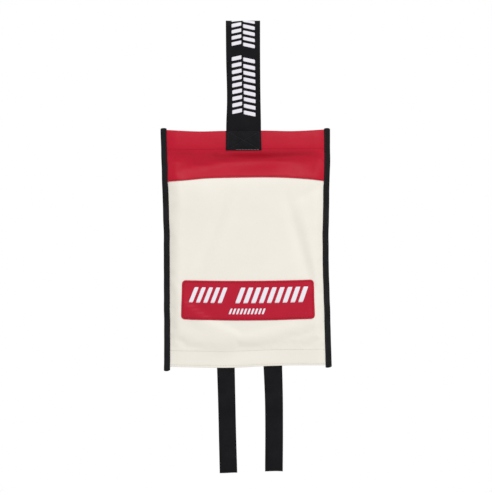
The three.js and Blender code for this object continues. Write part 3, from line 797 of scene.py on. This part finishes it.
band = {"thickness": 0.62, "stand": 0.5, "edgeInset": 2.4, "backDrop": 25.1, "seamAboveEdge": 2.0,
        "foldRadius": 2.6, "columns": 85, "step": 1.9, "foldStep": 0.9, "backFade": 15, "stitchSink": 0.28, "edgeStitchSink": 0.26}


# The band runs from its front edge up over the head and down to its back edge
def makeHeaderBand():
    across = np.linspace(0, 1, band["columns"])
    lowerSeamZ = bandEdgeZ + band["seamAboveEdge"]
    foldZ = headTopZ - band["foldRadius"]
    rows, weft = [], []

    def heightAt(z0):
        share = (headTopZ - z0) / (headTopZ - bandEdgeZ)
        seamShare = (headTopZ - headerSeamZ) / (headTopZ - bandEdgeZ)
        toSeam = np.clip(share / seamShare, 0, 1)
        pastSeam = np.clip((share - seamShare) / (1 - seamShare), 0, 1)
        upper = headTopLine(across) * (1 - toSeam) + headerSeamLine(across) * toSeam
        return z0 + upper * (1 - pastSeam) + bandEdgeLine(across) * pastSeam

    for z0 in stops(bandEdgeZ, foldZ, band["step"], (headerSeamZ, lowerSeamZ)):
        z = heightAt(z0)
        x = acrossPouch(z, band["edgeInset"], across)
        dip = seamDip(z0, headerSeamZ) + seamDip(z0, lowerSeamZ) * 0.8
        turnedEdge = 0.1 * ramp((z0 - bandEdgeZ) / 1.2) - 0.1
        rows.append(onSkin(-1, x, z, band["stand"] - dip + turnedEdge))
        weft.append(weftRow(x, z0 - bandEdgeZ))
    travelled = foldZ - bandEdgeZ
    lift = headTopLine(across)
    zEdge = foldZ + lift
    x = acrossPouch(zEdge, band["edgeInset"], across)
    front, back = (onSkin(side, x, zEdge, band["stand"]) for side in (-1, 1))
    for angle in np.linspace(0, math.pi, 11)[1:-1]:
        row = front.copy()
        row[:, 1] = (front[:, 1] + back[:, 1]) / 2 + (front[:, 1] - back[:, 1]) / 2 * math.cos(angle)
        row[:, 2] = zEdge + band["foldRadius"] * math.sin(angle) ** 0.8
        rows.append(row)
        travelled += band["foldStep"]
        weft.append(weftRow(x, travelled))
    for z0 in stops(foldZ, headTopZ - band["backDrop"], band["step"], (headerSeamZ,)):
        z = z0 + lift * ramp((z0 - headerSeamZ) / band["backFade"])
        x = acrossPouch(z, band["edgeInset"], across)
        rows.append(onSkin(1, x, z, band["stand"] - seamDip(z0, headerSeamZ)))
        weft.append(weftRow(x, travelled + foldZ - z0))
    piece = makeCloth("red_header_band", rows, weft, band["thickness"], flip=True)
    finishPiece(piece, "pouch", materials["bandLeathercloth"], "red_leathercloth", "header_band")


makeHeaderBand()
bandTop = band["stand"] + band["thickness"] / 2
crossSeam("header_stitches_front", -1, lambda s: headerSeamZ + headerSeamLine(s), bandTop - band["stitchSink"],
          "red", "header_seam_front")
crossSeam("header_stitches_back", 1, lambda s: headerSeamZ + 0 * s, bandTop - band["stitchSink"],
          "red", "header_seam_back")
crossSeam("band_edge_stitches", -1, lambda s: bandEdgeZ + band["seamAboveEdge"] + bandEdgeLine(s),
          bandTop - band["edgeStitchSink"], "red", "band_lower_seam")
print("header band made")


# ---------- edge bindings ----------

binding = {"width": 7.0, "thickness": 0.55, "stand": 0.42, "overBand": 0.78, "round": 2.4, "rise": 2.9,
           "endRound": 0.9, "tails": {"left": 6.3, "right": 1.3}, "slants": {"left": 0.1, "right": -0.16},
           "step": 2.4, "wander": 0.25, "wobble": 0.12, "stitchInset": 1.4}
bindingSides = {"left": -1, "right": 1}
bindingWaves = makeWaves(34, 5)


def bindingStand(z):
    return binding["stand"] + binding["overBand"] * ramp((z - bandEdgeZ + 9) / 3)


# A tape folded round the edge: from its inner edge in front, round the pouch's side, to its inner edge behind
def makeEdgeTape(word):
    sideX = bindingSides[word]
    top, bottom = headTopZ + binding["rise"], mouthZ - binding["tails"][word]
    heights = stops(top, bottom, binding["step"])
    flatInsets = np.linspace(binding["width"], binding["round"], 6)
    turn = np.linspace(0, math.pi, 11)[1:-1]
    rows, weft = [], []
    for z0 in heights:
        z = float(np.clip(z0, mouthZ + 0.5, headTopZ - 1.5))
        left, right = edgesAt(z)
        edge = (left if sideX < 0 else right) + sideX * binding["wander"] * float(bindingWaves(sideX * 50, z0))
        stand = float(bindingStand(z))
        x = edge - sideX * flatInsets
        wobble = binding["wobble"] * bindingWaves(flatInsets * 4, z0)
        front, back = (onSkin(side, x, z, stand + wobble) for side in (-1, 1))
        middle = (front[-1, 1] + back[-1, 1]) / 2
        half = (back[-1, 1] - front[-1, 1]) / 2
        bulges = binding["round"] * (1 - np.sin(turn) ** 0.85)
        edgeRound = np.stack([edge - sideX * bulges, middle - half * np.cos(turn), np.full(turn.shape, z)], -1)
        row = np.vstack([front, edgeRound, back[::-1]])
        pinched = ramp((z0 - headTopZ - binding["rise"] + 2.2) / 2.2)      # closed over the head's top corner
        row[:, 1] = middle + (row[:, 1] - middle) * (1 - 0.8 * pinched)
        slant = binding["slants"][word] * ramp((mouthZ + 3 - z0) / 3)
        row[:, 2] = z0 + slant * np.abs(row[:, 0] - edge)
        offMiddle = np.abs((row[:, 0] - edge) * -sideX / binding["width"] * 2 - 1)
        nearEnd = ramp((z0 - top + 3) / 3) - ramp((bottom + 3 - z0) / 3)
        row[:, 2] -= binding["endRound"] * nearEnd * offMiddle ** 3
        rows.append(row)
        weft.append(weftRow(distanceAlong(row[:, :2]), z0))
    piece = makeCloth(f"{word}_binding", rows, weft, binding["thickness"], flip=sideX > 0)
    finishPiece(piece, "pouch", materials["binding"], "black_binding", f"{word}_edge_binding")


def makeBindingStitches(word):
    sideX = bindingSides[word]
    runs = []
    for side in (-1, 1):
        z = np.linspace(headTopZ - 1, mouthZ + 1, 150)
        left, right = edgesAt(z)
        x = (left if sideX < 0 else right) - sideX * (binding["width"] - binding["stitchInset"])
        stand = bindingStand(z) + binding["thickness"] / 2 - 0.04
        runs.append(sewAlong(onSkin(side, x, z, stand), skinNormal(side, x, z), radius=0.26))
    piece = makeStitching(f"{word}_binding_stitches", runs)
    finishPiece(piece, "pouch", materials["blackThread"], "black_thread", f"{word}_binding_seam")


for word in bindingSides:
    makeEdgeTape(word)
    makeBindingStitches(word)
print("bindings made")


# ---------- label ----------

label = {"width": 154.0, "height": 45.2, "centreX": 1.9, "flare": 1.2, "sagTop": 1.2, "sagBottom": 1.9,
         "tilt": 0.0045, "corner": 4.2, "thickness": 0.75, "stand": 0.45, "seamInset": 2.1, "step": 0.95, "raise": 0.6,
         "seamDip": (0.14, 0.7), "edgeDrop": (0.3, 0.9)}          # how deep and how wide
labelZ = middleZ("label_patch") + label["raise"]


# From places on the flat patch, u to the right and w up from its middle, to the pouch
def labelPlace(u, w):
    down = 0.5 - w / label["height"]
    x = label["centreX"] + u * (1 + label["flare"] * (down - 0.5) / (label["width"] / 2))
    sag = (label["sagTop"] * (1 - down) + label["sagBottom"] * down) * (1 - np.square(2 * u / label["width"]))
    return x, labelZ + w - sag + label["tilt"] * u


def labelHalfWidth(w):
    corner = label["corner"]
    over = np.clip(np.abs(w) - (label["height"] / 2 - corner), 0, corner)
    return label["width"] / 2 - corner + np.sqrt(corner ** 2 - over ** 2)


def labelEdgeDistance(u, w):
    corner = label["corner"]
    dx = np.abs(u) - (label["width"] / 2 - corner)
    dw = np.abs(w) - (label["height"] / 2 - corner)
    outside = np.hypot(np.maximum(dx, 0), np.maximum(dw, 0))
    return corner - (outside + np.minimum(np.maximum(dx, dw), 0))


def labelSurface(u, w, extra=0.0):
    x, z = labelPlace(u, w)
    away = labelEdgeDistance(u, w)
    (dipDepth, dipWidth), (drop, dropWidth) = label["seamDip"], label["edgeDrop"]
    dip = dipDepth * bell((away - label["seamInset"]) / dipWidth) + drop * (1 - ramp(away / dropWidth))
    return onSkin(-1, x, z, label["stand"] - dip + extra), skinNormal(-1, x, z)


def makeLabel():
    half, halfWidth = label["height"] / 2, label["width"] / 2
    seamW = half - label["seamInset"]
    w = stops(half, -half, label["step"], (seamW, -seamW), reach=(0.4, 0.8))
    corner = np.array([0.15, 0.5, 1.1])
    w = np.array(sorted(set(w) | set(half - corner) | set(corner - half)))[::-1]
    nearEdge = [0, 0.25, 0.7, 1.2, 1.6, 2.0, 2.4, 2.9, 3.6]          # close together over the edge and its seam
    fromEdge = np.concatenate([nearEdge, np.linspace(4.4, halfWidth, 84)])
    across = np.concatenate([-1 + fromEdge / halfWidth, (1 - fromEdge[:-1] / halfWidth)[::-1]])
    wGrid, aGrid = np.meshgrid(w, across, indexing="ij")
    u = aGrid * labelHalfWidth(wGrid)
    points, _ = labelSurface(u, wGrid)
    piece = makeCloth("label_patch_red", points, np.stack([u, wGrid], -1), label["thickness"])
    finishPiece(piece, "pouch", materials["labelLeathercloth"], "red_leathercloth", "label_patch")


def makeLabelStitches():
    inset, corner = label["seamInset"], max(label["corner"] - label["seamInset"], 0.8)
    flatU, flatW = label["width"] / 2 - inset - corner, label["height"] / 2 - inset - corner
    outline = []
    for toU, toW, start in ((1, 1, 0), (-1, 1, 90), (-1, -1, 180), (1, -1, 270)):
        for step in range(7):
            a = math.radians(start + 15 * step)
            outline.append((toU * flatU + corner * math.cos(a), toW * flatW + corner * math.sin(a)))
    outline = np.array(outline + outline[:1])
    along = distanceAlong(outline)
    s = np.linspace(0, along[-1], 420)[:-1]
    u, w = np.interp(s, along, outline[:, 0]), np.interp(s, along, outline[:, 1])
    points, normals = labelSurface(u, w, label["thickness"] / 2 - 0.05)
    piece = makeStitching("label_stitches", [sewAlong(points, normals, closed=True)])
    finishPiece(piece, "pouch", materials["redThread"], "red_thread", "label_seam")


# Rows of plain slanted stripes: left and right end, bottom and top, a stripe's width, the gap between two
labelPrint = {"stand": 0.035, "slant": 0.38,
              "rows": [(-69.0, -23.8, -2.9, 15.0, 5.6, 3.6), (-15.0, 70.4, -2.9, 15.0, 5.6, 3.6),
                       (-22.5, 20.5, -15.6, -9.0, 2.3, 1.9)]}
inkThickness = 0.07


def stripeRow(left, right, bottom, top, stripe, gap):
    lean = (top - bottom) * labelPrint["slant"]
    room = right - left - lean
    count = int(round((room + gap) / (stripe + gap)))
    pitch = (room + gap) / count
    return [(left + i * pitch, left + (i + 1) * pitch - gap, bottom, top, lean) for i in range(count)]


# A slanted stripe as a small grid, its corners eased
def stripeGrid(shape, cells=(6, 10)):
    start, end, bottom, top, lean = shape
    down = np.linspace(0, 1, cells[1] + 1)
    over = np.linspace(0, 1, cells[0] + 1)
    d, o = np.meshgrid(down, over, indexing="ij")
    ease = 0.35 * (1 - np.clip(np.minimum(d, 1 - d) * (top - bottom) / 0.6, 0, 1)) ** 2
    u = start + (end - start) * (o + (0.5 - o) * ease * 2 / max(end - start, 1)) + lean * d
    return u, bottom + (top - bottom) * d


def makeMarks(name, shapes, place, body, material, flip=False):
    points, faces, weft = [], [], []
    count = 0
    for shape in shapes:
        u, w = stripeGrid(shape)
        points.append(place(u, w).reshape(-1, 3))
        weft.append(np.stack([u, w], -1).reshape(-1, 2))
        quads = gridFaces(*u.shape, count)
        faces += [face[::-1] for face in quads] if flip else quads
        count += u.size
    piece = makeObject(name, np.vstack(points), faces, np.vstack(weft))
    thicken(piece, inkThickness)
    finishPiece(piece, body, material, "ivory_thread")


def makeLabelPrint():
    def place(u, w):
        return labelSurface(u, w, label["thickness"] / 2 + labelPrint["stand"])[0]

    shapes = [shape for row in labelPrint["rows"] for shape in stripeRow(*row)]
    makeMarks("label_stripes", shapes, place, "pouch", materials["labelPrint"], flip=True)


makeLabel()
makeLabelStitches()
makeLabelPrint()
print("label made")


# ---------- closure tapes ----------

tapes = {"width": 20.0, "thickness": 0.5, "inset": 14.0, "stand": -2.1, "aboveMouth": 2.0, "roughness": 0.03}


def makeTape(word, side, material, node):
    across = np.linspace(0, 1, 80)
    rows, weft = [], []
    for drop in np.linspace(0, tapes["width"], 14):
        z = mouthZ + tapes["aboveMouth"] + tapes["width"] - drop + mouthLine(across)
        x = acrossPouch(z, tapes["inset"], across)
        rows.append(onSkin(side, x, z, tapes["stand"] + rng.normal(0, tapes["roughness"], x.shape)))
        weft.append(weftRow(x, drop))
    piece = makeCloth(f"{word}_tape_strip", rows, weft, tapes["thickness"], flip=side > 0)
    finishPiece(piece, "pouch", material, "closure_tape", node)


makeTape("loop", -1, materials["loopTape"], "closure_loop_tape")
makeTape("hook", 1, materials["hookTape"], "closure_hook_tape")


# ---------- hanging strap ----------

hangStrap = {"thickness": 1.3, "radius": 6.7, "columns": 41, "legY": 4.0, "centre": -6.0,
             "middleX": [(-152, -3.0), (-123, -3.2), (-95, -3.0), (-46, -3.7), (6, -4.0)],
             "width": [(-152, 41.4), (-140, 40.8), (-123, 40.4), (-95, 39.0), (-46, 39.4), (6, 39.8)],
             "foot": headTopZ - 23.2, "sewnTop": headTopZ + 8, "sewnFade": 11, "gap": 0.08}
strapMiddle = curveThrough(hangStrap["middleX"])
strapWidth = curveThrough(hangStrap["width"])


# The strap's middle line in y and z, from its front foot over the hook to its back foot
def strapPath():
    radius, centre = hangStrap["radius"], hangStrap["centre"]
    legs = stops(hangStrap["foot"], headTopZ, 0.8)
    upper = stops(headTopZ + 1.6, centre - 1.2, 1.8)
    z = np.concatenate([legs, upper])
    t = np.clip((z - headTopZ) / (centre - headTopZ), 0, 1)
    y = hangStrap["legY"] + (radius - hangStrap["legY"]) * (0.35 * ramp(t * 1.6) + 0.65 * t ** 1.5)
    front = np.stack([-y, z], -1)
    turn = np.linspace(math.pi, 0, 19)
    top = np.stack([radius * np.cos(turn), centre + radius * 0.92 * np.sin(turn)], -1)
    back = np.stack([y, z], -1)[::-1]
    return np.vstack([front, top, back])


strapLine = strapPath()
strapAlong = distanceAlong(strapLine)
strapTurn = np.gradient(strapLine, strapAlong, axis=0)
strapTurn /= np.linalg.norm(strapTurn, axis=1, keepdims=True)
strapTotal = strapAlong[-1]


def strapZ(s):
    return np.interp(s, strapAlong, strapLine[:, 1])


# A point on the strap: distance along it from the front foot, place across from -1 to 1, stand off its middle
def strapPlace(s, u, stand):
    s, u = np.broadcast_arrays(np.asarray(s, float), np.asarray(u, float))
    y, z = (np.interp(s, strapAlong, strapLine[:, k]) for k in (0, 1))
    dy, dz = (np.interp(s, strapAlong, strapTurn[:, k]) for k in (0, 1))
    x = strapMiddle(z) + u * strapWidth(z) / 2
    side = np.where(s < strapTotal / 2, -1, 1)
    sewn = ramp((hangStrap["sewnTop"] - z) / hangStrap["sewnFade"])
    onHead = np.minimum(z, headTopZ - 1)
    lying = np.where(side < 0, skinY(-1, x, onHead), skinY(1, x, onHead))
    lying = lying + side * (bandTop + hangStrap["thickness"] / 2 + hangStrap["gap"])
    y = y * (1 - sewn) + lying * sewn
    return np.stack([x, y - dz * stand, z + dy * stand], -1)


def strapNormal(s, u):
    dy, dz = (np.interp(s, strapAlong, strapTurn[:, k]) for k in (0, 1))
    return np.stack([np.zeros_like(dy), -dz, dy], -1) + 0 * np.asarray(u, float)[..., None]


# The box of stitches on each foot starts that far above the foot's end and stops that far below the head's edge
boxStitch = {"pitch": 2.6, "low": 1.3, "belowTop": 1.6, "halfWidth": 18.0, "dip": 0.3, "dipWidth": 0.8}


# A box and its cross, as lines between (along, across) places
def boxLines(low, high, half):
    corners = [(low, -half), (low, half), (high, half), (high, -half)]
    lines = [(corners[i], corners[(i + 1) % 4]) for i in range(4)]
    return lines + [(corners[0], corners[2]), (corners[1], corners[3])]


def nearLines(s, x, lines):
    best = np.full(np.broadcast(s, x).shape, 1e9)
    for (s0, x0), (s1, x1) in lines:
        size = (s1 - s0) ** 2 + (x1 - x0) ** 2
        t = np.clip(((s - s0) * (s1 - s0) + (x - x0) * (x1 - x0)) / size, 0, 1)
        best = np.minimum(best, np.hypot(s - s0 - t * (s1 - s0), x - x0 - t * (x1 - x0)))
    return best


def boxDip(s, x, lines):
    return boxStitch["dip"] * bell(nearLines(s, x, lines) / boxStitch["dipWidth"])


def boxRuns(lines, place, count, radius):
    runs = []
    for (s0, x0), (s1, x1) in lines:
        t = np.linspace(0.01, 0.99, count)
        points, outward = place(s0 + (s1 - s0) * t, x0 + (x1 - x0) * t)
        runs.append(sewAlong(points, outward, pitch=boxStitch["pitch"], radius=radius))
    return runs


footHigh = headTopZ - hangStrap["foot"] - boxStitch["belowTop"]
footLines = {"front": boxLines(boxStitch["low"], footHigh, boxStitch["halfWidth"]),
             "back": boxLines(strapTotal - footHigh, strapTotal - boxStitch["low"], boxStitch["halfWidth"])}


def makeHangStrap():
    u = np.linspace(-1, 1, hangStrap["columns"])
    sGrid, uGrid = np.meshgrid(strapAlong, u, indexing="ij")
    z = strapZ(sGrid)
    x = uGrid * strapWidth(z) / 2
    dip = -boxDip(sGrid, x, footLines["front"] + footLines["back"])
    cords = 0.07 * np.abs(np.sin(math.pi * x / 2.5)) + 0.16 * bell((np.abs(uGrid) - 0.965) / 0.02)
    ease = 0.12 * np.sin(2 * math.pi * sGrid / 61) * (1 - ramp((headTopZ + 6 - z) / 8)) * uGrid ** 2
    points = strapPlace(sGrid, uGrid, dip + cords + ease)
    piece = makeCloth("hanging_strap", points, np.stack([x, sGrid], -1), hangStrap["thickness"])
    piece.data.materials.append(materials["hangWebbing"])
    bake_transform(piece)
    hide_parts("hang_strap", "hang_strap_front_end", "hang_strap_back_end")


# The strap's face or a little off it, from millimetres along and across, and the way it faces there
def onStrap(s, x, above):
    u = x / (strapWidth(strapZ(s)) / 2)
    return strapPlace(s, u, hangStrap["thickness"] / 2 + above), strapNormal(s, u)


def makeFootStitches(word):
    runs = boxRuns(footLines[word], lambda s, x: onStrap(s, x, -0.2), 60, 0.27)
    piece = makeStitching(f"{word}_foot_stitches", runs)
    finishPiece(piece, "pouch", materials["blackThread"], "black_thread", f"{word}_end_box_stitch")


# Two columns of plain slanted stripes in two groups: each column's ends across and how far its stripes slope
strapPrint = {"pitch": 7.4, "share": 0.58, "stand": 0.1, "groups": [(-108.6, -39.5), (-29.6, -1.2)],
              "overTop": 6.0, "columns": [(-13.3, -2.0, 2.4), (0.0, 13.7, -2.9)]}


def strapMarks():
    frontLeg = slice(0, len(strapLine) // 2)
    heights, along = strapLine[frontLeg, 1], strapAlong[frontLeg]
    groups = [list(np.interp(ends, heights, along)) for ends in strapPrint["groups"]]
    groups[-1][1] += strapPrint["overTop"]
    marks = []
    for start, end, slope in strapPrint["columns"]:
        for low, high in groups:
            count = int(round((high - low) / strapPrint["pitch"]))
            pitch = (high - low) / count
            for i in range(count):
                marks.append((low + i * pitch, low + (i + strapPrint["share"]) * pitch, start, end, slope))
    return marks


def makeStrapPrint():
    makeMarks("strap_stripes", strapMarks(), lambda s, x: onStrap(s, x, strapPrint["stand"])[0], "hang_loop",
              materials["strapPrint"])


# Stitches along the front foot's lower edge, in a pale thread that paints the glints of light on them
footEdge = {"from": -9.5, "to": 18.0, "above": 0.75, "sink": 0.12, "pitch": 3.4, "radius": 0.2}


def makeFootEdgeStitches():
    x = np.linspace(footEdge["from"], footEdge["to"], 60)
    points, outward = onStrap(np.full(x.shape, footEdge["above"]), x, -footEdge["sink"])
    run = sewAlong(points, outward, pitch=footEdge["pitch"], radius=footEdge["radius"])
    finishPiece(makeStitching("foot_edge_stitches", [run]), "pouch", materials["glintPaintedThread"], "ivory_thread")


makeHangStrap()
makeFootEdgeStitches()
makeFootStitches("front")
makeFootStitches("back")
makeStrapPrint()
print("hanging strap made")


# ---------- folded blanket ----------

blanket = {"side": 1000, "layers": 6, "leaves": 5, "leafCells": 19, "layerCells": 17,
           "leafFold": 7, "layerFold": 5, "clothThickness": 0.14, "frontRoom": 3.0, "backRoom": 2.7,
           "top": bandEdgeZ + 7.5, "bottom": packBottomZ + 1.0, "halfWidth": 80.4, "edgeWander": 0.5,
           "outerNarrower": 0.4, "layerFill": 0.93, "foldReach": 1.5, "sideReach": 0.6, "foldSpread": 13.0, "wave": 0.5,
           "even": 7, "insideX": 78, "insideZ": (mouthZ + 41, bandEdgeZ + 2)}
leafDepth = 1.0 / blanket["leaves"]
leafWander = rng.uniform(-1, 1, (blanket["leaves"], blanket["layers"], 2)) * blanket["edgeWander"]
rng.random(blanket["leaves"] + 1)         # spare draws, which move on the random numbers that the pull straps' stitches take


# From a depth between 0 in front and 1 behind to a y inside the pouch, so that the stack fills it
def inPouch(depth, x, z):
    front, back = blanket["frontRoom"], -blanket["backRoom"]
    even = blanket["even"]
    around = [(0, 0), (even, 0), (-even, 0), (0, even), (0, -even)]    # the pack evens out the pouch's creases
    for acrossBy, upBy in around:
        xIn = np.clip(x + acrossBy, -blanket["insideX"], blanket["insideX"])
        zIn = np.clip(z + upBy, *blanket["insideZ"])
        front = front + skinY(-1, xIn, zIn) / len(around)
        back = back + skinY(1, xIn, zIn) / len(around)
    return front + (back - front) * depth


# Stops along a strip folded to and fro: flat stretches with a turn between two
def foldedStops(count, cells, turnCells):
    found = []
    for i in range(count):
        found += [("flat", i, t) for t in np.linspace(0, 1, cells)]
        if i < count - 1:
            found += [("fold", i, t) for t in np.linspace(0, 1, turnCells + 2)[1:-1]]
    return found


def makeBlanket():
    layers, leaves = blanket["layers"], blanket["leaves"]
    layer = leafDepth / layers * blanket["layerFill"]
    top, bottom = blanket["top"], blanket["bottom"]
    vStops = foldedStops(leaves, blanket["leafCells"], blanket["leafFold"])
    uStops = foldedStops(layers, blanket["layerCells"], blanket["layerFold"])
    points = np.zeros((len(vStops), len(uStops), 3))
    weft = np.zeros((len(vStops), len(uStops), 2))
    for i, (kindV, leaf, tv) in enumerate(vStops):
        up = 1 if leaf % 2 == 0 else -1
        start, end = (bottom, top) if up > 0 else (top, bottom)
        if kindV == "flat":
            z = start + (end - start) * tv
            depth, turnY, turnZ = (leaf + 0.5) * leafDepth, up, 0.0
        else:
            angle = math.pi * tv
            z = end + up * blanket["foldReach"] * math.sin(angle)
            depth = (leaf + 1) * leafDepth - 0.5 * leafDepth * math.cos(angle)
            turnY, turnZ = up * math.cos(angle), up * math.sin(angle)
        for j, (kindU, row, tu) in enumerate(uStops):
            right = 1 if row % 2 == 0 else -1
            half = blanket["halfWidth"] - blanket["outerNarrower"] * abs(leaf - 2) ** 2
            low, high = leafWander[leaf, row] + (-half, half)
            near, far = (low, high) if right > 0 else (high, low)
            fromMiddle = row - (layers - 1) / 2
            if kindU == "flat":
                x = near + (far - near) * tu
            else:
                x = far + right * blanket["sideReach"] * math.sin(math.pi * tu)
                fromMiddle += 0.5 - 0.5 * math.cos(math.pi * tu)
            offset = fromMiddle * layer
            points[i, j] = (x, depth + offset * turnY, z + offset * turnZ * blanket["foldSpread"])
            weft[i, j] = ((row + tu) * blanket["side"] / layers, (leaf + tv) * blanket["side"] / leaves)
    x, depth, z = points[..., 0], points[..., 1], points[..., 2]
    nearEnds = ramp((np.abs(z - (top + bottom) / 2) - 60) / 40)
    z += blanket["wave"] * quickWaves(x * 0.6 + depth * 80, depth * 60) * nearEnds
    points[..., 1] = inPouch(np.clip(depth, 0.004, 0.996), x, z)
    piece = makeCloth("glass_cloth_blanket", points, weft, blanket["clothThickness"])
    finishPiece(piece, "blanket", materials["glassCloth"], "glass_cloth", "folded_blanket")


makeBlanket()
print("blanket made")


# ---------- pull straps ----------

pullStrap = {"thickness": 1.15, "columns": 23, "rootTop": packBottomZ + 40, "rootBottom": packBottomZ + 1,
             "gathered": upperHemZ + 4, "ends": {"left": packBottomZ - 160.2, "right": packBottomZ - 158.7},
             "widths": {"left": [(0, 20.6), (0.4, 20.1), (1, 20.3)], "right": [(0, 21.8), (0.3, 21.0), (1, 20.6)]},
             "sway": {"left": 1.6, "right": -1.2}, "twistStart": {"left": 2, "right": 0}, "twist": 0.5,
             "freeLength": 122, "gap": 0.45, "rootGap": 0.35, "boxLow": 2.6, "boxTop": 2.2, "boxHalf": 7.6, "boxDip": 0.28}


def pullLine(word):
    end = pullStrap["ends"][word]
    z = np.concatenate([stops(pullStrap["rootTop"], mouthZ + 2, 1.1), stops(mouthZ + 0.8, end, 1.5)])
    middleX = curveThrough([(mouthZ - share * (mouthZ - end), x) for share, x in pullStrapX[word]])
    width = curveThrough([(mouthZ - share * (mouthZ - end), w) for share, w in pullStrap["widths"][word]])
    return z, middleX, width


def pullPlace(word, z, u, stand):
    _, middleX, width = pullLine(word)
    x = middleX(z) + u * width(z) / 2
    free = np.clip((mouthZ - z) / pullStrap["freeLength"], 0, 1)
    twist = pullStrap["twist"] * u * np.sin(free * 5 + pullStrap["twistStart"][word])
    hanging = (pullStrap["sway"][word] * np.sin(free * 4.2) + twist) * free
    onPack = inPouch(0.0, x, z) - pullStrap["thickness"] / 2 - pullStrap["rootGap"]
    sewn = ramp((z - pullStrap["gathered"]) / (pullStrap["rootBottom"] - pullStrap["gathered"]))
    y = hanging * (1 - sewn) + onPack * sewn
    room = panelCloth["thickness"] + pullStrap["thickness"] / 2 + pullStrap["gap"]
    inside = ramp((z - mouthZ) / 4)
    zIn = np.maximum(z, mouthZ + 0.5)
    held = np.clip(y, skinY(-1, x, zIn) + room, skinY(1, x, zIn) - room)
    return np.stack([x, y * (1 - inside) + held * inside - stand, z], -1)


def rootLines():
    low, high = pullStrap["rootBottom"] + pullStrap["boxLow"], pullStrap["rootTop"] - pullStrap["boxTop"]
    return boxLines(low, high, pullStrap["boxHalf"])


def makePullStrap(word):
    z, middleX, width = pullLine(word)
    u = np.linspace(-1, 1, pullStrap["columns"])
    zGrid, uGrid = np.meshgrid(z, u, indexing="ij")
    x = uGrid * width(zGrid) / 2
    cords = 0.06 * np.abs(np.sin(math.pi * x / 2.0)) + 0.12 * bell((np.abs(uGrid) - 0.93) / 0.04)
    dip = -pullStrap["boxDip"] * bell(nearLines(zGrid, x, rootLines()) / boxStitch["dipWidth"])
    points = pullPlace(word, zGrid, uGrid, cords + dip)
    last = zGrid < pullStrap["ends"][word] + 0.01
    points[..., 2] += last * 0.25 * np.sin(uGrid * 2.2 + (0 if word == "left" else 1))         # cut by hand
    weft = np.stack([x, zGrid], -1)
    piece = makeCloth(f"{word}_pull_strap_webbing", points, weft, pullStrap["thickness"], flip=True)
    piece.data.materials.append(materials["pullWebbing"])
    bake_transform(piece)
    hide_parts(f"pull_strap_{word}", f"pull_strap_{word}_root")

    def onRoot(z, x):
        points = pullPlace(word, z, x / (width(z) / 2), pullStrap["thickness"] / 2 - 0.18)
        return points, np.tile([0.0, -1.0, 0.0], (len(points), 1))

    stitches = makeStitching(f"{word}_root_stitches", boxRuns(rootLines(), onRoot, 50, 0.25))
    finishPiece(stitches, "blanket", materials["blackThread"], "black_thread", f"{word}_root_stitch")


for word in ("left", "right"):
    makePullStrap(word)
print("pull straps made")


# ---------- floor, lights and camera ----------

studio = {
    "floorZ": -0.9, "floorRadius": 1.85, "floorColour": (0.75, 0.75, 0.745),
    "ambient": 0.592, "ambientTint": (1.0, 0.97, 0.985), "background": 1.0,
    "keyPlace": (1.3, -3.3, 2.9), "keySize": 1.4, "keyPower": 113,
    "fillPlace": (-1.4, 2.6, 1.2), "fillSize": 1.8, "fillPower": 60,
    "cameraDistance": 1.585, "lens": 100, "sensor": 36, "aim": (-0.0004, -0.2619),
    "lightAim": (0, 0, -0.26),
}


def makeFloor():
    segments = 96
    radius, z = studio["floorRadius"], studio["floorZ"]
    points = [(0, 0, z)]
    for i in range(segments):
        a = 2 * math.pi * i / segments
        points.append((radius * math.cos(a), radius * math.sin(a), z))
    mesh = bpy.data.meshes.new("floor")
    mesh.from_pydata(points, [], [(0, 1 + i, 1 + (i + 1) % segments) for i in range(segments)])
    floor = bpy.data.objects.new("floor", mesh)
    bpy.context.scene.collection.objects.link(floor)
    material, t = newMaterial("pale_floor", studio["floorColour"], 0.8, specular=0.2)
    place = t.add("ShaderNodeTexCoord").outputs["Object"]
    t.wire("Roughness", t.spread(t.noise(place, 3.0), 0.3, 0.7, 0.75, 0.85))
    mesh.materials.append(material)


def aimAt(thing, target):
    thing.rotation_euler = (Vector(target) - thing.location).to_track_quat("-Z", "Y").to_euler()


def makeAreaLight(name):
    data = bpy.data.lights.new(name, "AREA")
    data.shape, data.size, data.energy = "DISK", studio[f"{name}Size"], studio[f"{name}Power"]
    lamp = bpy.data.objects.new(name, data)
    lamp.location = studio[f"{name}Place"]
    bpy.context.scene.collection.objects.link(lamp)
    aimAt(lamp, studio["lightAim"])


def makeWorld():
    world = bpy.data.worlds.new("studio")
    bpy.context.scene.world = world
    world.use_nodes = True
    tree = world.node_tree
    background = tree.nodes["Background"]
    seen = tree.nodes.new("ShaderNodeLightPath").outputs["Is Camera Ray"]
    tint = tree.nodes.new("ShaderNodeMix")
    tint.data_type = "RGBA"
    tint.inputs[6].default_value = colour(studio["ambientTint"])
    tint.inputs[7].default_value = colour((1, 1, 1))
    tree.links.new(seen, tint.inputs[0])
    tree.links.new(tint.outputs[2], background.inputs["Color"])
    strength = tree.nodes.new("ShaderNodeMapRange")
    tree.links.new(seen, strength.inputs["Value"])
    strength.inputs["To Min"].default_value = studio["ambient"]
    strength.inputs["To Max"].default_value = studio["background"]
    tree.links.new(strength.outputs["Result"], background.inputs["Strength"])


def makeCamera():
    data = bpy.data.cameras.new("camera")
    data.lens, data.sensor_width = studio["lens"], studio["sensor"]
    camera = bpy.data.objects.new("camera", data)
    x, z = studio["aim"]
    camera.location = (x, frontY * mm - studio["cameraDistance"], z)
    camera.rotation_euler = (math.pi / 2, 0, 0)
    bpy.context.scene.collection.objects.link(camera)
    bpy.context.scene.camera = camera


makeFloor()
makeWorld()
makeAreaLight("key")
makeAreaLight("fill")
makeCamera()
bpy.context.scene.view_settings.view_transform = "Standard"
print("studio made")
